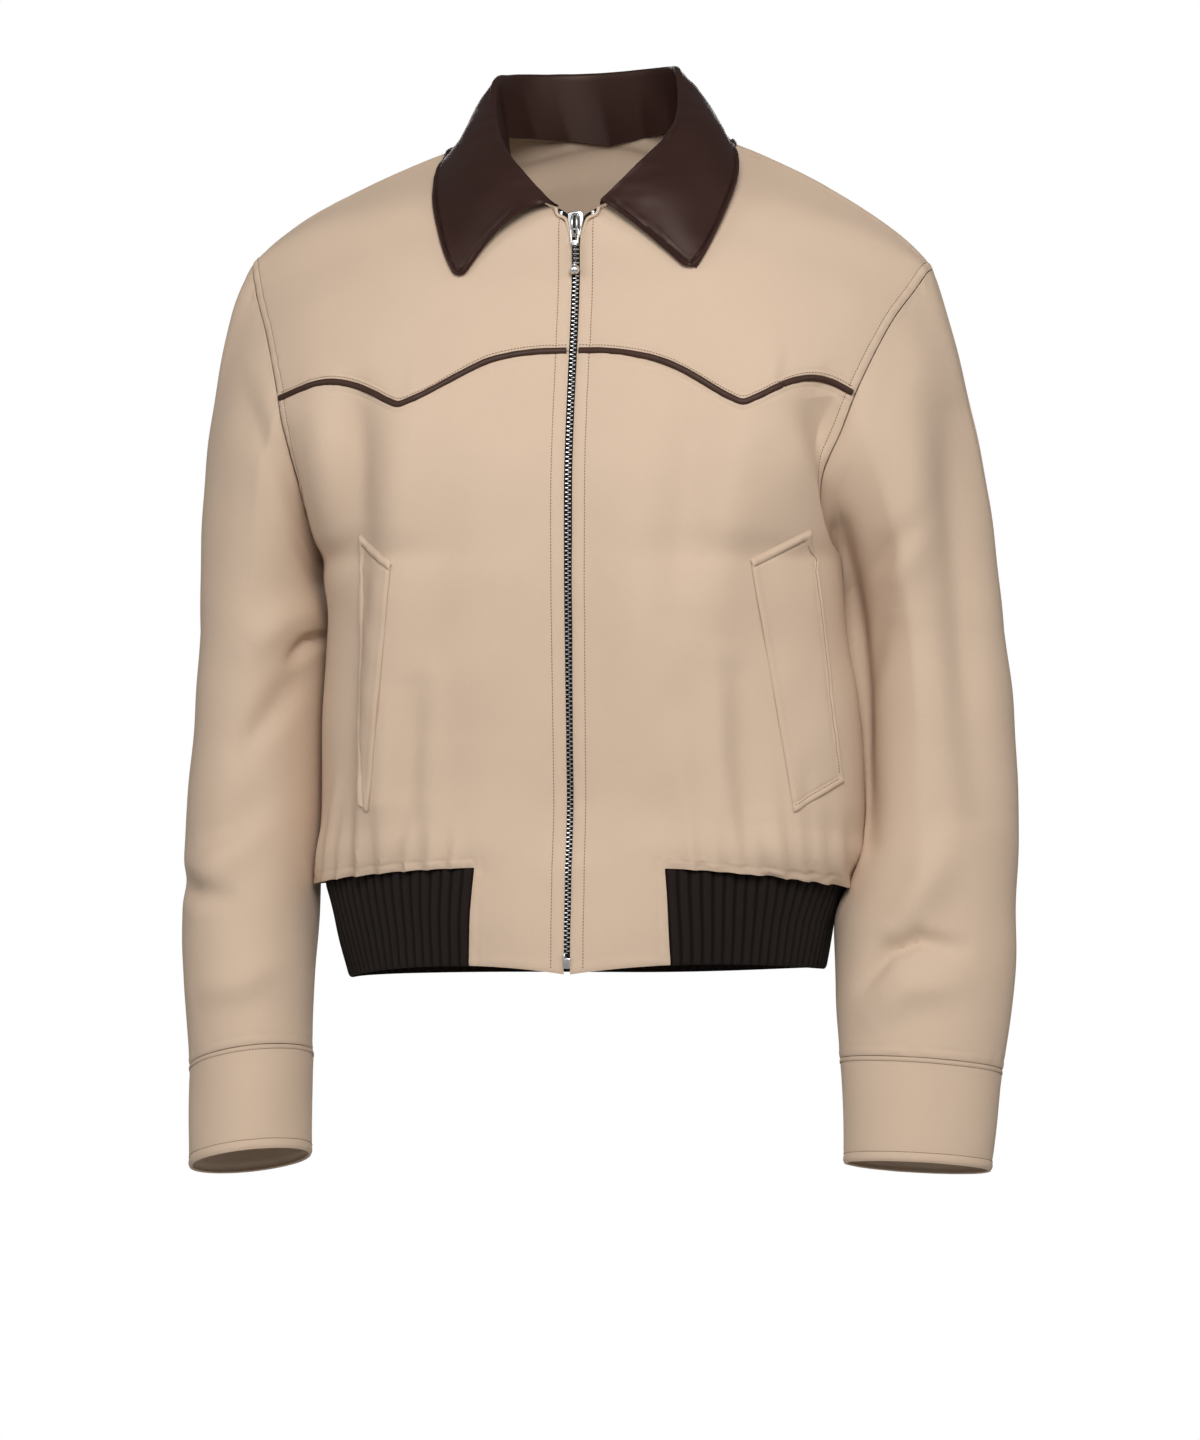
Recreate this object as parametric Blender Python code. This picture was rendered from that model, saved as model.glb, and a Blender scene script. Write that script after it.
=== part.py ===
"""A cropped harrington jacket, worn and zipped up: two fronts with western yokes, one plain back,
set-in sleeves with cuffs, a ribbed hem band, a pointed leather collar, welt pockets, piping and a zip.

+Z up, -Y front, +X the wearer's left. The origin is on the midline, level with the shoulder seams,
where the jacket hangs on its wearer. Tables are in millimetres; meshes are made in metres."""

import math

import bmesh
import bpy
import numpy as np

MM = 0.001
CLOTH = 1.2          # wall of the cloth and its backing
LEATHER = 1.5
KNIT = 1.6
GAP = 0.15           # half of the gap between two pieces at a seam
# The edge of each front beside the zip: (height, distance from the centre line).
ZIP_EDGE = [(-600, 2.9), (-66, 2.9), (-58, 4.4), (-52, 6.5), (-47, 10.5), (-42, 15)]
RIB_COUNT = 104
RIB_RAISE = 0.9

# Cross-rows of one front, from the hem up to the shoulder seam. Each is a cubic curve from the centre
# line (or the neckline) x0 y0 z0, by the handle x1 y1 z1, and by p3 plus rx ry rz, to the side point p3.
#        level    x0    y0    z0    x1    y1    z1    rx    ry   rz
FRONT = [(-600,   0, -138, -592,   95, -141, -577,    0,  -72,   4),
         (-575,   0, -137, -567,   99, -141, -553,    2,  -76,   4),
         (-545,   0, -133, -536,  103, -140, -527,    3,  -80,   4),
         (-530,   0, -131, -517,  104, -139, -512,    3,  -82,   4),
         (-515,   0, -127, -503,  108, -143, -500,    4,  -84,   2),
         (-490,   0, -123, -480,  110, -141, -480,    4,  -85,   0),
         (-430,   0, -122, -430,  112, -139, -430,    2,  -86,   0),
         (-360,   0, -127, -360,  113, -143, -360,    2,  -88,   0),
         (-303,   0, -132, -303,  112, -148, -303,    2,  -90,   0),
         (-295,   0, -133, -295,  111, -148, -295,    1,  -90,   0),
         (-270,   0, -134, -270,   98, -149, -269,  -19,  -66,   2),
         (-235,   0, -132, -235,   96, -148, -233,  -31,  -45,   3),
         (-195,   0, -123, -197,  102, -142, -196,  -38,  -34,   6),
         (-150,   0, -110, -150,   98, -128, -153,  -48,  -36,  12),
         (-95,    0,  -97,  -97,   86, -108, -102,  -56,  -40,  22),
         (-42,    0,  -91,  -44,   70,  -94,  -54,  -58,  -34,  30),
         (-10,   48,  -64,  -22,  104,  -58,  -24,  -31,  -12,  32),
         (24,    70,    8,   26,  132,    8,   10,  -19,    2,  33)]

# The same for half of the back; from level 0 up its first point runs round the back of the neck.
BACK = [(-600,    0,  112, -603,   95,  114, -603,    0,   66,   0),
        (-575,    0,  116, -577,   99,  118, -577,    2,   68,   0),
        (-545,    0,  119, -547,  103,  121, -547,    3,   71,   0),
        (-530,    0,  120, -532,  104,  122, -532,    3,   72,   0),
        (-515,    0,  125, -516,  108,  127, -516,    4,   75,   0),
        (-490,    0,  126, -490,  110,  128, -490,    4,   76,   0),
        (-430,    0,  123, -430,  110,  126, -430,    2,   74,   0),
        (-360,    0,  127, -360,  110,  130, -360,    2,   81,   0),
        (-303,    0,  132, -303,  110,  135, -303,    0,   88,   0),
        (-295,    0,  133, -295,  109,  136, -295,   -1,   88,   0),
        (-270,    0,  135, -270,   96,  138, -269,  -21,   62,   1),
        (-235,    0,  136, -235,   93,  139, -234,  -31,   42,   2),
        (-195,    0,  135, -195,  103,  138, -194,  -35,   34,   4),
        (-150,    0,  131, -148,  104,  134, -148,  -42,   34,  10),
        (-95,     0,  119,  -90,   98,  122,  -92,  -52,   32,  18),
        (-42,     0,  101,  -30,   86,  104,  -38,  -58,   28,  28),
        (-20,     0,   88,   -4,   80,   92,  -12,  -46,   20,  30),
        (0,       0,   72,   24,   78,   76,   15,  -31,   12,  34),
        (12,     44,   56,   29,  106,   44,   15,  -24,    7,  34),
        (24,     70,    8,   26,  132,    8,   10,  -19,    2,  33)]

# Side points: down the side seam, then round each armhole. r is the wearer's right (-X), l the left.
#        level   x r   y r   z r   x l   y l   z l
SIDE = [(-600, -184,   -4, -602, 171,   -4, -593),
        (-575, -190,   -4, -577, 174,   -4, -568),
        (-545, -197,   -4, -547, 184,   -4, -543),
        (-530, -201,   -4, -532, 190,   -4, -531),
        (-515, -204,   -4, -514, 200,   -4, -514),
        (-490, -203,   -4, -490, 199,   -4, -490),
        (-430, -199,   -4, -430, 195,   -4, -430),
        (-360, -198,   -4, -360, 181,   -4, -360),
        (-303, -202,   -4, -303, 175,   -4, -305),
        (-295, -202,   -4, -295, 175,   -4, -297),
        (-270, -205,  -44, -276, 170,  -52, -276),
        (-235, -211,  -78, -236, 172,  -92, -239),
        (-195, -218,  -86, -197, 190,  -91, -203),
        (-150, -224,  -78, -170, 203,  -80, -170),
        (-95,  -238,  -50, -127, 223,  -50, -124),
        (-42,  -252,  -22,  -94, 238,  -23,  -98),
        (-10,  -258,   -9,  -73, 246,   -9,  -84),
        (24,   -259,    5,  -69, 249,    5,  -80)]
BACK_SIDE = [(-600, -184,  -4, -602, 171,  -4, -593),
             (-575, -190,  -4, -577, 174,  -4, -568),
             (-545, -197,  -4, -547, 184,  -4, -543),
             (-530, -201,  -4, -532, 190,  -4, -531),
             (-515, -204,  -4, -514, 200,  -4, -514),
             (-490, -203,  -4, -490, 199,  -4, -490),
             (-430, -199,  -4, -430, 195,  -4, -430),
             (-360, -198,  -4, -360, 181,  -4, -360),
             (-303, -202,  -4, -303, 175,  -4, -305),
             (-295, -202,  -4, -295, 175,  -4, -297),
             (-270, -206,  38, -280, 182,  38, -281),
             (-235, -212,  64, -245, 197,  64, -247),
             (-195, -220,  74, -205, 208,  74, -206),
             (-150, -229,  72, -165, 221,  72, -165),
             (-95,  -240,  58, -125, 232,  58, -128),
             (-42,  -249,  38,  -95, 240,  38, -102),
             (-20,  -254,  29,  -83, 244,  29,  -92),
             (0,    -257,  20,  -75, 247,  20,  -85),
             (12,   -258,  13,  -71, 248,  13,  -81),
             (24,   -259,   5,  -69, 249,   5,  -80)]

RIB_LEVEL = -530      # where the rib band meets the cloth
UNDERARM = -295
CHEST_NECK = -42      # the fronts' top corner at the zip
BACK_NECK = 0
SHOULDER = 24

# The yoke seam as seen from the front, (distance from the centre line, height on the wearer's right,
# height on the left), and the edge of the plain cloth beside the rib, (height, distance from the centre).
YOKE_SEAM = [(0, -146, -146), (27, -147, -147), (45, -149.5, -149.5), (62, -154, -153.5),
             (77, -161.5, -159.5), (90, -169, -166.5), (103, -177, -174.5), (115, -183, -182),
             (123, -185.5, -185.5), (131, -182.5, -182.5), (145, -175, -175), (160, -168.5, -168.5),
             (174, -166, -166.5), (187, -167, -169.5), (199, -170, -177), (224, -177, -189)]
RIB_EDGE = [(-600, 73), (-530, 69)]

# Sleeves, a ring every few centimetres below the armhole: centre, half-width, half-depth, and how far
# the ring leans forward and rises towards the body, in degrees. The last two rings are the cuff's.
#             z     cx    cy   half_x half_y lean  rise
SLEEVE_R = [(-345, -252,    2,  45,   70,    0,   0),
            (-400, -256,    0,  45,   68,    3,   2),
            (-470, -258,   -8,  48,   64,    7,   4),
            (-544, -257,  -24,  49,   60,   11,   7),
            (-618, -252,  -44,  47,   55,   13,   9),
            (-660, -248,  -57,  45,   50,   14,  10),
            (-734, -244,  -77,  45,   48,   14,   9)]
SLEEVE_L = [(-345,  243,    6,  58,   60,    0,   0),
            (-400,  248,    4,  60,   60,    2,   0),
            (-470,  250,    0,  62,   56,    5,   0),
            (-544,  249,  -12,  63,   50,    8,   1),
            (-618,  247,  -28,  62,   46,   10,   2),
            (-660,  244,  -38,  59,   43,   11,   3),
            (-732,  243,  -54,  53,   40,   11,   2)]
CUFF_TOP, CUFF_HEM = -660, -733


def smooth(table, t):
    """Rows of the table at t, on a curve through its points whose slope at a point is the mean of the
    chords beside it, each weighted by the other's length."""
    table = np.asarray(table, float)
    xs, ys = table[:, 0], table[:, 1:]
    step = np.diff(xs)[:, None]
    chord = np.diff(ys, axis=0) / step
    slope = np.empty_like(ys)
    slope[0], slope[-1] = chord[0], chord[-1]
    slope[1:-1] = (chord[:-1] * step[1:] + chord[1:] * step[:-1]) / (step[1:] + step[:-1])
    t = np.asarray(t, float)
    i = np.clip(np.searchsorted(xs, t, side="right") - 1, 0, len(xs) - 2)
    h = step[i, 0]
    w = np.clip((t - xs[i]) / h, 0, 1)[..., None]
    h = h[..., None]
    return ((1 + 2 * w) * (1 - w) ** 2 * ys[i] + w * (1 - w) ** 2 * h * slope[i]
            + w * w * (3 - 2 * w) * ys[i + 1] - w * w * (1 - w) * h * slope[i + 1])


def bezier(p0, p1, p2, p3, u):
    """The cubic curve from p0 to p3 by the handles p1 and p2, at u from 0 to 1."""
    u = np.asarray(u, float)[..., None]
    w = 1 - u
    return w ** 3 * p0 + 3 * w * w * u * p1 + 3 * w * u * u * p2 + u ** 3 * p3


def side_points(sides, side, level):
    """Points down the side seam and round the armhole; side is -1 for the wearer's right, +1 for the left."""
    edge = smooth(sides, level)
    return edge[..., 0:3] if side < 0 else edge[..., 3:6]


def torso_rows(rows, sides, side):
    """The rows with their last handle as a point, not as an offset from the side."""
    key = (len(rows), side)
    if key not in ROWS:
        table = np.array(rows, float)
        table[:, 7:10] = side_points(sides, side, table[:, 0]) + table[:, 7:10] * np.array([side, 1, 1])
        ROWS[key] = table
    return ROWS[key]


ROWS = {}


def torso_base(rows, sides, side, u, level):
    """A point of the fronts or of the back before its folds: the row at this level, u from the centre
    line to the side."""
    u, level = np.broadcast_arrays(np.asarray(u, float), np.asarray(level, float))
    row = smooth(torso_rows(rows, sides, side), level)
    row[..., 0] = np.maximum(row[..., 0], 0)
    mirror = np.array([side, 1, 1])
    return bezier(row[..., 0:3] * mirror, row[..., 3:6] * mirror, row[..., 6:9],
                  side_points(sides, side, level), u)


def normals_of(form, a, b, flip):
    """Unit normals of a surface form(a, b), from differences across each point."""
    da, db = 0.004, 0.6
    along_a = form(a + da, b) - form(a - da, b)
    along_b = form(a, b + db) - form(a, b - db)
    n = np.cross(along_a, along_b) * flip
    return n / np.maximum(np.linalg.norm(n, axis=-1, keepdims=True), 1e-9)


# Folds of the cloth as seen from the front or the back: a soft ridge (height over 0) or trough along
# a line of (x, z) points. Each side of the line has its own width, and the fold fades at its ends.
#          face   height  width_in width_out  points
FOLDS = [("front",  9,    26,  14, [(150, -178), (166, -240), (176, -330), (184, -420), (188, -500)]),
         ("front", -5,    16,  16, [(176, -176), (182, -215), (186, -255)]),
         ("front",  5,    20,  22, [(122, -190), (112, -260), (100, -350)]),
         ("front", -4,    22,  24, [(96, -190), (86, -260), (80, -330)]),
         ("front",  8,    18,  16, [(-122, -196), (-128, -250), (-134, -300), (-146, -380),
                                    (-154, -440), (-158, -500)]),
         ("front", -7,    17,  17, [(-161, -170), (-158, -215), (-158, -270)]),
         ("front",  4,    20,  20, [(-188, -180), (-184, -230), (-180, -300)]),
         ("front",  3,    30,  30, [(-60, -230), (-70, -320), (-76, -420)]),
         ("front",  3,    30,  34, [(48, -250), (54, -350), (60, -440)]),
         ("back",   4,    40,  40, [(-60, -240), (-50, -380), (-46, -480)]),
         ("back",   5,    36,  36, [(70, -220), (66, -350), (72, -470)]),
         ("back",  -4,    34,  34, [(8, -260), (12, -380), (10, -470)]),
         ("back",   6,    24,  26, [(150, -190), (158, -280), (162, -380)]),
         ("back",   6,    24,  26, [(-156, -200), (-160, -290), (-166, -390)])]

# Gathers above the rib: (x, height, width, length), the front's as seen and the back's.
GATHERS = [(-196, 3.0, 5, 40), (-185, 3.4, 5, 60), (-173, 3.2, 5, 48), (-155, 3.4, 6, 62),
           (-137, 2.6, 6, 50), (-119, 2.4, 5, 44), (-101, 2.2, 6, 40), (-84, 1.6, 5, 30),
           (88, 1.8, 5, 36), (104, 2.0, 6, 40), (119, 2.6, 6, 52), (131, 2.6, 5, 46),
           (147, 3.0, 6, 60), (160, 3.2, 5, 66), (172, 3.2, 5, 54), (184, 3.0, 5, 46)]


def fold_height(points, x, z, width_in, width_out):
    """How strongly a fold along these (x, z) points acts: a bell across it, fading over its ends."""
    points = np.asarray(points, float)
    best = np.full(np.shape(x), 1e9)
    amount = np.zeros(np.shape(x))
    lengths = np.linalg.norm(np.diff(points, axis=0), axis=1)
    total, run = lengths.sum(), 0.0
    for (ax, az), (bx, bz), length in zip(points[:-1], points[1:], lengths):
        dx, dz = (bx - ax) / length, (bz - az) / length
        along = (x - ax) * dx + (z - az) * dz
        held = np.clip(along, 0, length)
        off_x, off_z = x - ax - held * dx, z - az - held * dz
        distance = np.hypot(off_x, off_z)
        outer = off_x * np.sign(ax + bx) > 0
        width = np.where(outer, width_out, width_in)
        t = (run + held) / total
        fade = np.sin(math.pi * np.clip(t * 0.8 + 0.1, 0, 1)) ** 0.8
        nearer = distance < best
        amount = np.where(nearer, fade * np.exp(-(distance / width) ** 2), amount)
        best = np.minimum(best, distance)
        run += length
    return amount


def torso_relief(face, p, level):
    """Height of the folds and gathers at the points p of the fronts ("front") or the back."""
    x, z = p[..., 0], p[..., 2]
    relief = np.zeros(x.shape)
    for where, height, width_in, width_out, points in FOLDS:
        if where == face:
            relief += height * fold_height(points, x, z, width_in, width_out)
    relief *= np.clip((level - RIB_LEVEL + 6) / 60, 0, 1) * np.clip((20 - level) / 50, 0, 1)
    above = level - RIB_LEVEL
    for at, height, width, length in GATHERS:
        at = at * (1 if face == "front" else 0.95)
        lean = at + 0.06 * above * np.sign(at) * -1
        relief += (height * np.exp(-((x - lean) / width) ** 2)
                   * np.clip(1 - above / length, 0, 1) ** 1.5 * (above > -1))
    return relief


def torso(face, side, u, level):
    """A point of the jacket's body with its folds. Above the rib the folds push out along the normal."""
    rows, sides = (FRONT, SIDE) if face == "front" else (BACK, BACK_SIDE)

    def base(a, b):
        return torso_base(rows, sides, side, a, b)

    p = base(u, level)
    n = normals_of(base, np.clip(u, 0.004, 0.996), level, side * (1 if face == "front" else -1))
    edge = np.clip((1 - np.asarray(u)) / 0.11, 0, 1) * np.clip(np.asarray(u) / 0.08, 0, 1)
    return p + n * (torso_relief(face, p, np.asarray(level, float)) * edge)[..., None]


def torso_normal(face, side, u, level):
    def form(a, b):
        return torso(face, side, a, b)

    return normals_of(form, np.clip(u, 0.006, 0.994), level, side * (1 if face == "front" else -1))


def yoke_level(side, u):
    """Level of the yoke seam at u: where the row's height meets the seam's."""
    u = np.atleast_1d(np.asarray(u, float))
    levels = np.linspace(-240, -110, 131)
    p = torso_base(FRONT, SIDE, side, u[:, None], levels[None, :])
    over = p[..., 2] - smooth(YOKE_SEAM, np.abs(p[..., 0]))[..., 0 if side < 0 else 1]
    return np.array([np.interp(0, row, levels) for row in over])


def rib_edge_u(side, level):
    """u of the seam between the plain cloth and the rib at this level."""
    level = np.atleast_1d(np.asarray(level, float))
    us = np.linspace(0.05, 0.6, 111)
    p = torso_base(FRONT, SIDE, side, us[None, :], level[:, None])
    target = smooth(RIB_EDGE, level)[:, 0]
    return np.array([np.interp(t, np.abs(row), us) for t, row in zip(target, p[..., 0])])


def column_u(side, w, level):
    """Columns of the fronts, w from 0 to 1: one of them, at w = EDGE_W, runs down the rib's edge."""
    low = np.clip(level, -600, RIB_LEVEL)
    edge = np.interp(low, (-600, RIB_LEVEL), rib_edge_u(side, np.array([-600.0, RIB_LEVEL])))
    first = zip_u(level)
    return np.where(w < EDGE_W, first + (edge - first) * w / EDGE_W,
                    edge + (1 - edge) * (w - EDGE_W) / (1 - EDGE_W))


def zip_u(level):
    """u of the fronts' edge beside the zip, which opens out at the top; nothing along the neckline."""
    level = np.asarray(level, float)
    x1 = smooth(FRONT, level)[..., 3]
    half = np.interp(level, *np.array(ZIP_EDGE, float).T)
    return np.where(level < CHEST_NECK, half / (3 * x1),
                    np.interp(level, (CHEST_NECK, -10, 24), (ZIP_EDGE[-1][1] / (3 * 70), 0.004, GAP / 180)))


EDGE_COLUMN = 5
EDGE_W = EDGE_COLUMN / 16
SIDE_U = 1 - GAP / 140


def unit(points):
    return points / np.maximum(np.linalg.norm(points, axis=-1, keepdims=True), 1e-9)


def build(name, outer, inner, cells, look):
    """One closed wall: the quads of the outer points, the same quads of the inner points turned round,
    and a strip between them along every free edge. Points that coincide are joined first."""
    outer = np.asarray(outer, float).reshape(-1, 3)
    inner = np.asarray(inner, float).reshape(-1, 3)
    cells = np.asarray(cells).reshape(-1, 4)
    _, first, index = np.unique(np.round(outer, 3), axis=0, return_index=True, return_inverse=True)
    cells = index.reshape(-1)[cells]
    outer, inner = outer[first], inner[first]
    count = len(outer)
    quads, edges = [], {}
    for cell in cells.tolist():
        loop = [v for k, v in enumerate(cell) if v != cell[k - 1]]
        if len(loop) < 3:
            continue
        quads.append(loop)
        for k in range(len(loop)):
            edges[(loop[k - 1], loop[k])] = True
    faces = [tuple(q) for q in quads] + [tuple(count + v for v in reversed(q)) for q in quads]
    faces += [(b, a, count + a, count + b) for a, b in edges if (b, a) not in edges]
    used = sorted({v for f in faces for v in f})
    renumber = {v: k for k, v in enumerate(used)}
    obj = solid(name, np.concatenate([outer, inner])[used],
                [tuple(renumber[v] for v in f) for f in faces], look)
    outward(obj)
    return obj


def solid(name, points, faces, look):
    """An object from points in millimetres and faces, coloured by its material."""
    mesh = bpy.data.meshes.new(name)
    mesh.from_pydata((np.asarray(points, float) * MM).tolist(), [], faces)
    mesh.materials.append(look)
    mesh.update()
    obj = bpy.data.objects.new(name, mesh)
    bpy.context.scene.collection.objects.link(obj)
    return obj


def sweep(name, path, across, up, section, look):
    """A bar along a path: at each point the section's (a, h) points laid on across * a + up * h."""
    path, across, up = np.asarray(path, float), np.asarray(across, float), np.asarray(up, float)
    section = np.asarray(section, float)
    rings = (path[:, None] + across[:, None] * section[None, :, :1] + up[:, None] * section[None, :, 1:])
    n, k = rings.shape[:2]
    faces = [(i * k + j, i * k + (j + 1) % k, (i + 1) * k + (j + 1) % k, (i + 1) * k + j)
             for i in range(n - 1) for j in range(k)]
    faces += [tuple(range(k))[::-1], tuple((n - 1) * k + j for j in range(k))]
    obj = solid(name, rings.reshape(-1, 3), faces, look)
    outward(obj)
    return obj


def outward(obj):
    """Turns every face of a closed mesh to look out."""
    bm = bmesh.new()
    bm.from_mesh(obj.data)
    bmesh.ops.recalc_face_normals(bm, faces=bm.faces)
    bm.to_mesh(obj.data)
    bm.free()


def grid_cells(rows, columns, keep=None, around=False):
    """Quads of a grid of points, row after row; around joins the last column to the first."""
    i, j = np.meshgrid(np.arange(rows - 1), np.arange(columns if around else columns - 1), indexing="ij")
    if keep is not None:
        i, j = i[keep], j[keep]
    i, j = i.reshape(-1), j.reshape(-1)
    k = (j + 1) % columns
    return np.stack([i * columns + j, i * columns + k, (i + 1) * columns + k, (i + 1) * columns + j], 1)


def grid_normals(p, around=False):
    """Unit normals at the points of a grid, from the differences to the points beside each."""
    if around:
        along = np.roll(p, -1, axis=1) - np.roll(p, 1, axis=1)
    else:
        along = np.gradient(p, axis=1)
    return unit(np.cross(along, np.gradient(p, axis=0)))


def material(name, colour, roughness, metallic=0.0):
    made = bpy.data.materials.new(name)
    made.use_nodes = True
    shader = made.node_tree.nodes["Principled BSDF"]
    shader.inputs["Base Color"].default_value = (*colour, 1)
    shader.inputs["Roughness"].default_value = roughness
    shader.inputs["Metallic"].default_value = metallic
    return made


COLUMNS = np.linspace(0, 1, 17)
LOW_LEVELS = np.concatenate([np.linspace(-530, -480, 5), np.linspace(-480, -295, 6)[1:]])
# Rows beside the armhole: steps of the front below the yoke seam, shares of the way from the yoke seam
# up to the shoulder, and levels of the back's rows, the last four round the back of the neck.
FRONT_STEPS = np.array([0, 0.1, 0.28, 0.5, 0.75, 1])
YOKE_STEPS = np.array([0, 0.27, 0.49, 0.6, 0.68, 0.76, 0.82, 0.88, 0.94, 1])
ARM_LEVELS = (-295, -283, -262, -236, -208, -176, -142, -108, -76, -46, -18, 0, 8, 16, 24)
AROUND = 28


def armhole_levels(side, face, t):
    """Level of the armhole's edge, t from 0 at the underarm to 1 at the shoulder point."""
    levels = np.array(ARM_LEVELS, float)
    if face == "front":
        seam = yoke_level(side, 1.0)[0]
        levels = np.concatenate([UNDERARM + (seam - UNDERARM) * FRONT_STEPS,
                                 seam + (SHOULDER - seam) * YOKE_STEPS[1:]])
    return np.interp(t, np.linspace(0, 1, len(levels)), levels)


def armhole(side, turn):
    """Points of the armhole, turn from 0 at the underarm up the front to 0.5 at the shoulder point and
    down the back to 1."""
    turn = np.asarray(turn, float) % 1.0 + (np.asarray(turn) == 1.0)
    ones = np.ones(turn.shape)
    front = torso("front", side, ones, armhole_levels(side, "front", turn * 2))
    back_edge = torso("back", side, ones, armhole_levels(side, "back", 2 - turn * 2))
    return np.where((turn <= 0.5)[..., None], front, back_edge)


def armhole_shares(side):
    """Turns round the armhole, and how far round the sleeve each comes: by length up the front to the
    shoulder point, and by length down the back."""
    turn = np.arange(-AROUND // 4, AROUND + AROUND // 4 + 1) / AROUND
    if side not in SHARES:
        loop = armhole(side, np.arange(AROUND + 1) / AROUND)
        run = np.concatenate([[0], np.cumsum(np.linalg.norm(np.diff(loop, axis=0), axis=1))])
        half = AROUND // 2
        share = np.where(run <= run[half], run / run[half] / 2,
                         0.5 + (run - run[half]) / (run[-1] - run[half]) / 2)
        quarter = AROUND // 4
        SHARES[side] = np.concatenate([share[-quarter - 1:-1] - 1, share, share[1:quarter + 1] + 1])
    return turn, SHARES[side]


SHARES = {}


def armhole_normals(side, turn):
    """The normal both walls follow round the armhole: the body's, leaning away from the hole's centre."""
    turn = np.asarray(turn, float)
    near = np.full(turn.shape, 0.985)
    front = torso_normal("front", side, near, armhole_levels(side, "front", turn * 2))
    rear = torso_normal("back", side, near, armhole_levels(side, "back", 2 - turn * 2))
    body = np.where((turn <= 0.5)[..., None], front, rear)
    body = np.where(((turn < 0.01) | (turn > 0.99))[..., None], unit(front + rear), body)
    body = np.where((np.abs(turn - 0.5) < 0.01)[..., None], unit(front + rear), body)
    loop = armhole(side, np.arange(AROUND) / AROUND)
    away = armhole(side, turn) - loop.mean(axis=0)
    away[..., 0] = 0
    under = np.clip(np.cos(2 * math.pi * turn), 0, 1)[..., None]
    return unit(body + (0.6 + 2.4 * under ** 2) * unit(away))


# Where the sleeve leaves the armhole, and how far up its first ring reaches: outward, forward and down
# at the underarm and at the shoulder point, the front and back in between.
CAP_RIGHT = {"out": (15, 30), "down": (16, 52), "reach": (18, 124), "fuller": 0, "forward": 12}
CAP_LEFT = {"out": (15, 20), "down": (16, 58), "reach": (18, 112), "fuller": -8, "forward": 12}

#                face  height w_in w_out points, as seen from the front, (x, z)
SLEEVE_FOLDS = {-1: [(9, 13, 13, [(-212, -236), (-207, -280), (-196, -318), (-199, -346)]),
                     (-7, 8, 10, [(-198, -350), (-212, -352), (-222, -362), (-236, -384)]),
                     (5, 14, 16, [(-222, -330), (-236, -350), (-258, -378)]),
                     (-4, 14, 18, [(-262, -440), (-240, -420), (-222, -400)]),
                     (-5, 9, 9, [(-312, -528), (-290, -534), (-262, -540)]),
                     (4, 14, 18, [(-250, -500), (-268, -516), (-282, -544)]),
                     (3, 9, 7, [(-220, -676), (-256, -682), (-300, -684)])],
                1: [(-6, 18, 20, [(262, -165), (266, -260), (270, -400), (276, -470)]),
                    (4, 16, 18, [(236, -150), (240, -240), (238, -330)]),
                    (-4, 14, 14, [(196, -250), (200, -300), (208, -330)]),
                    (-4, 12, 12, [(238, -270), (220, -296), (202, -316)]),
                    (-3, 12, 12, [(222, -320), (214, -370)]),
                    (5, 14, 16, [(262, -500), (248, -530), (230, -556)]),
                    (-6, 10, 8, [(206, -600), (222, -578), (246, -568), (272, -574)]),
                    (3, 9, 7, [(196, -676), (236, -682), (290, -684)])]}


def sleeve_base(side, turn, row):
    """A point of a sleeve before its folds: turn as round the armhole, row 0 at the armhole, 1 at the
    first ring, 2 at the top of the cuff and 3 at its hem."""
    turn, row = np.broadcast_arrays(np.asarray(turn, float), np.asarray(row, float))
    cap = CAP_RIGHT if side < 0 else CAP_LEFT
    rings = SLEEVE_R if side < 0 else SLEEVE_L
    angle = 2 * math.pi * np.interp(turn, *armhole_shares(side))
    inner, front = np.cos(angle), np.sin(angle)
    z = np.interp(row, (1, 2, 3), (-345, CUFF_TOP, CUFF_HEM))
    ring = smooth([(-r[0],) + r[1:] for r in rings], -z)
    cx, cy, half_x, half_y, lean, rise = (ring[..., k] for k in range(6))
    tilt = np.radians(lean)
    body = np.stack([cx - side * half_x * inner, cy - half_y * front * np.cos(tilt),
                     z + half_y * front * np.sin(tilt) + half_x * inner * np.sin(np.radians(rise))],
                    axis=-1)
    share = (1 - inner) / 2
    out = cap["out"][0] + (cap["out"][1] - cap["out"][0]) * share
    down = cap["down"][0] + (cap["down"][1] - cap["down"][0]) * share
    reach = cap["reach"][0] + (cap["reach"][1] - cap["reach"][0]) * share
    start = armhole(side, turn)
    leave = np.stack([side * out, -cap["forward"] * front, -down], axis=-1)
    arrive = np.stack([side * cap["fuller"] * share, 0 * reach, reach], axis=-1)
    upper = bezier(start, start + leave, body + arrive, body, np.clip(row, 0, 1))
    return np.where((row < 1)[..., None], upper, body)


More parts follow.
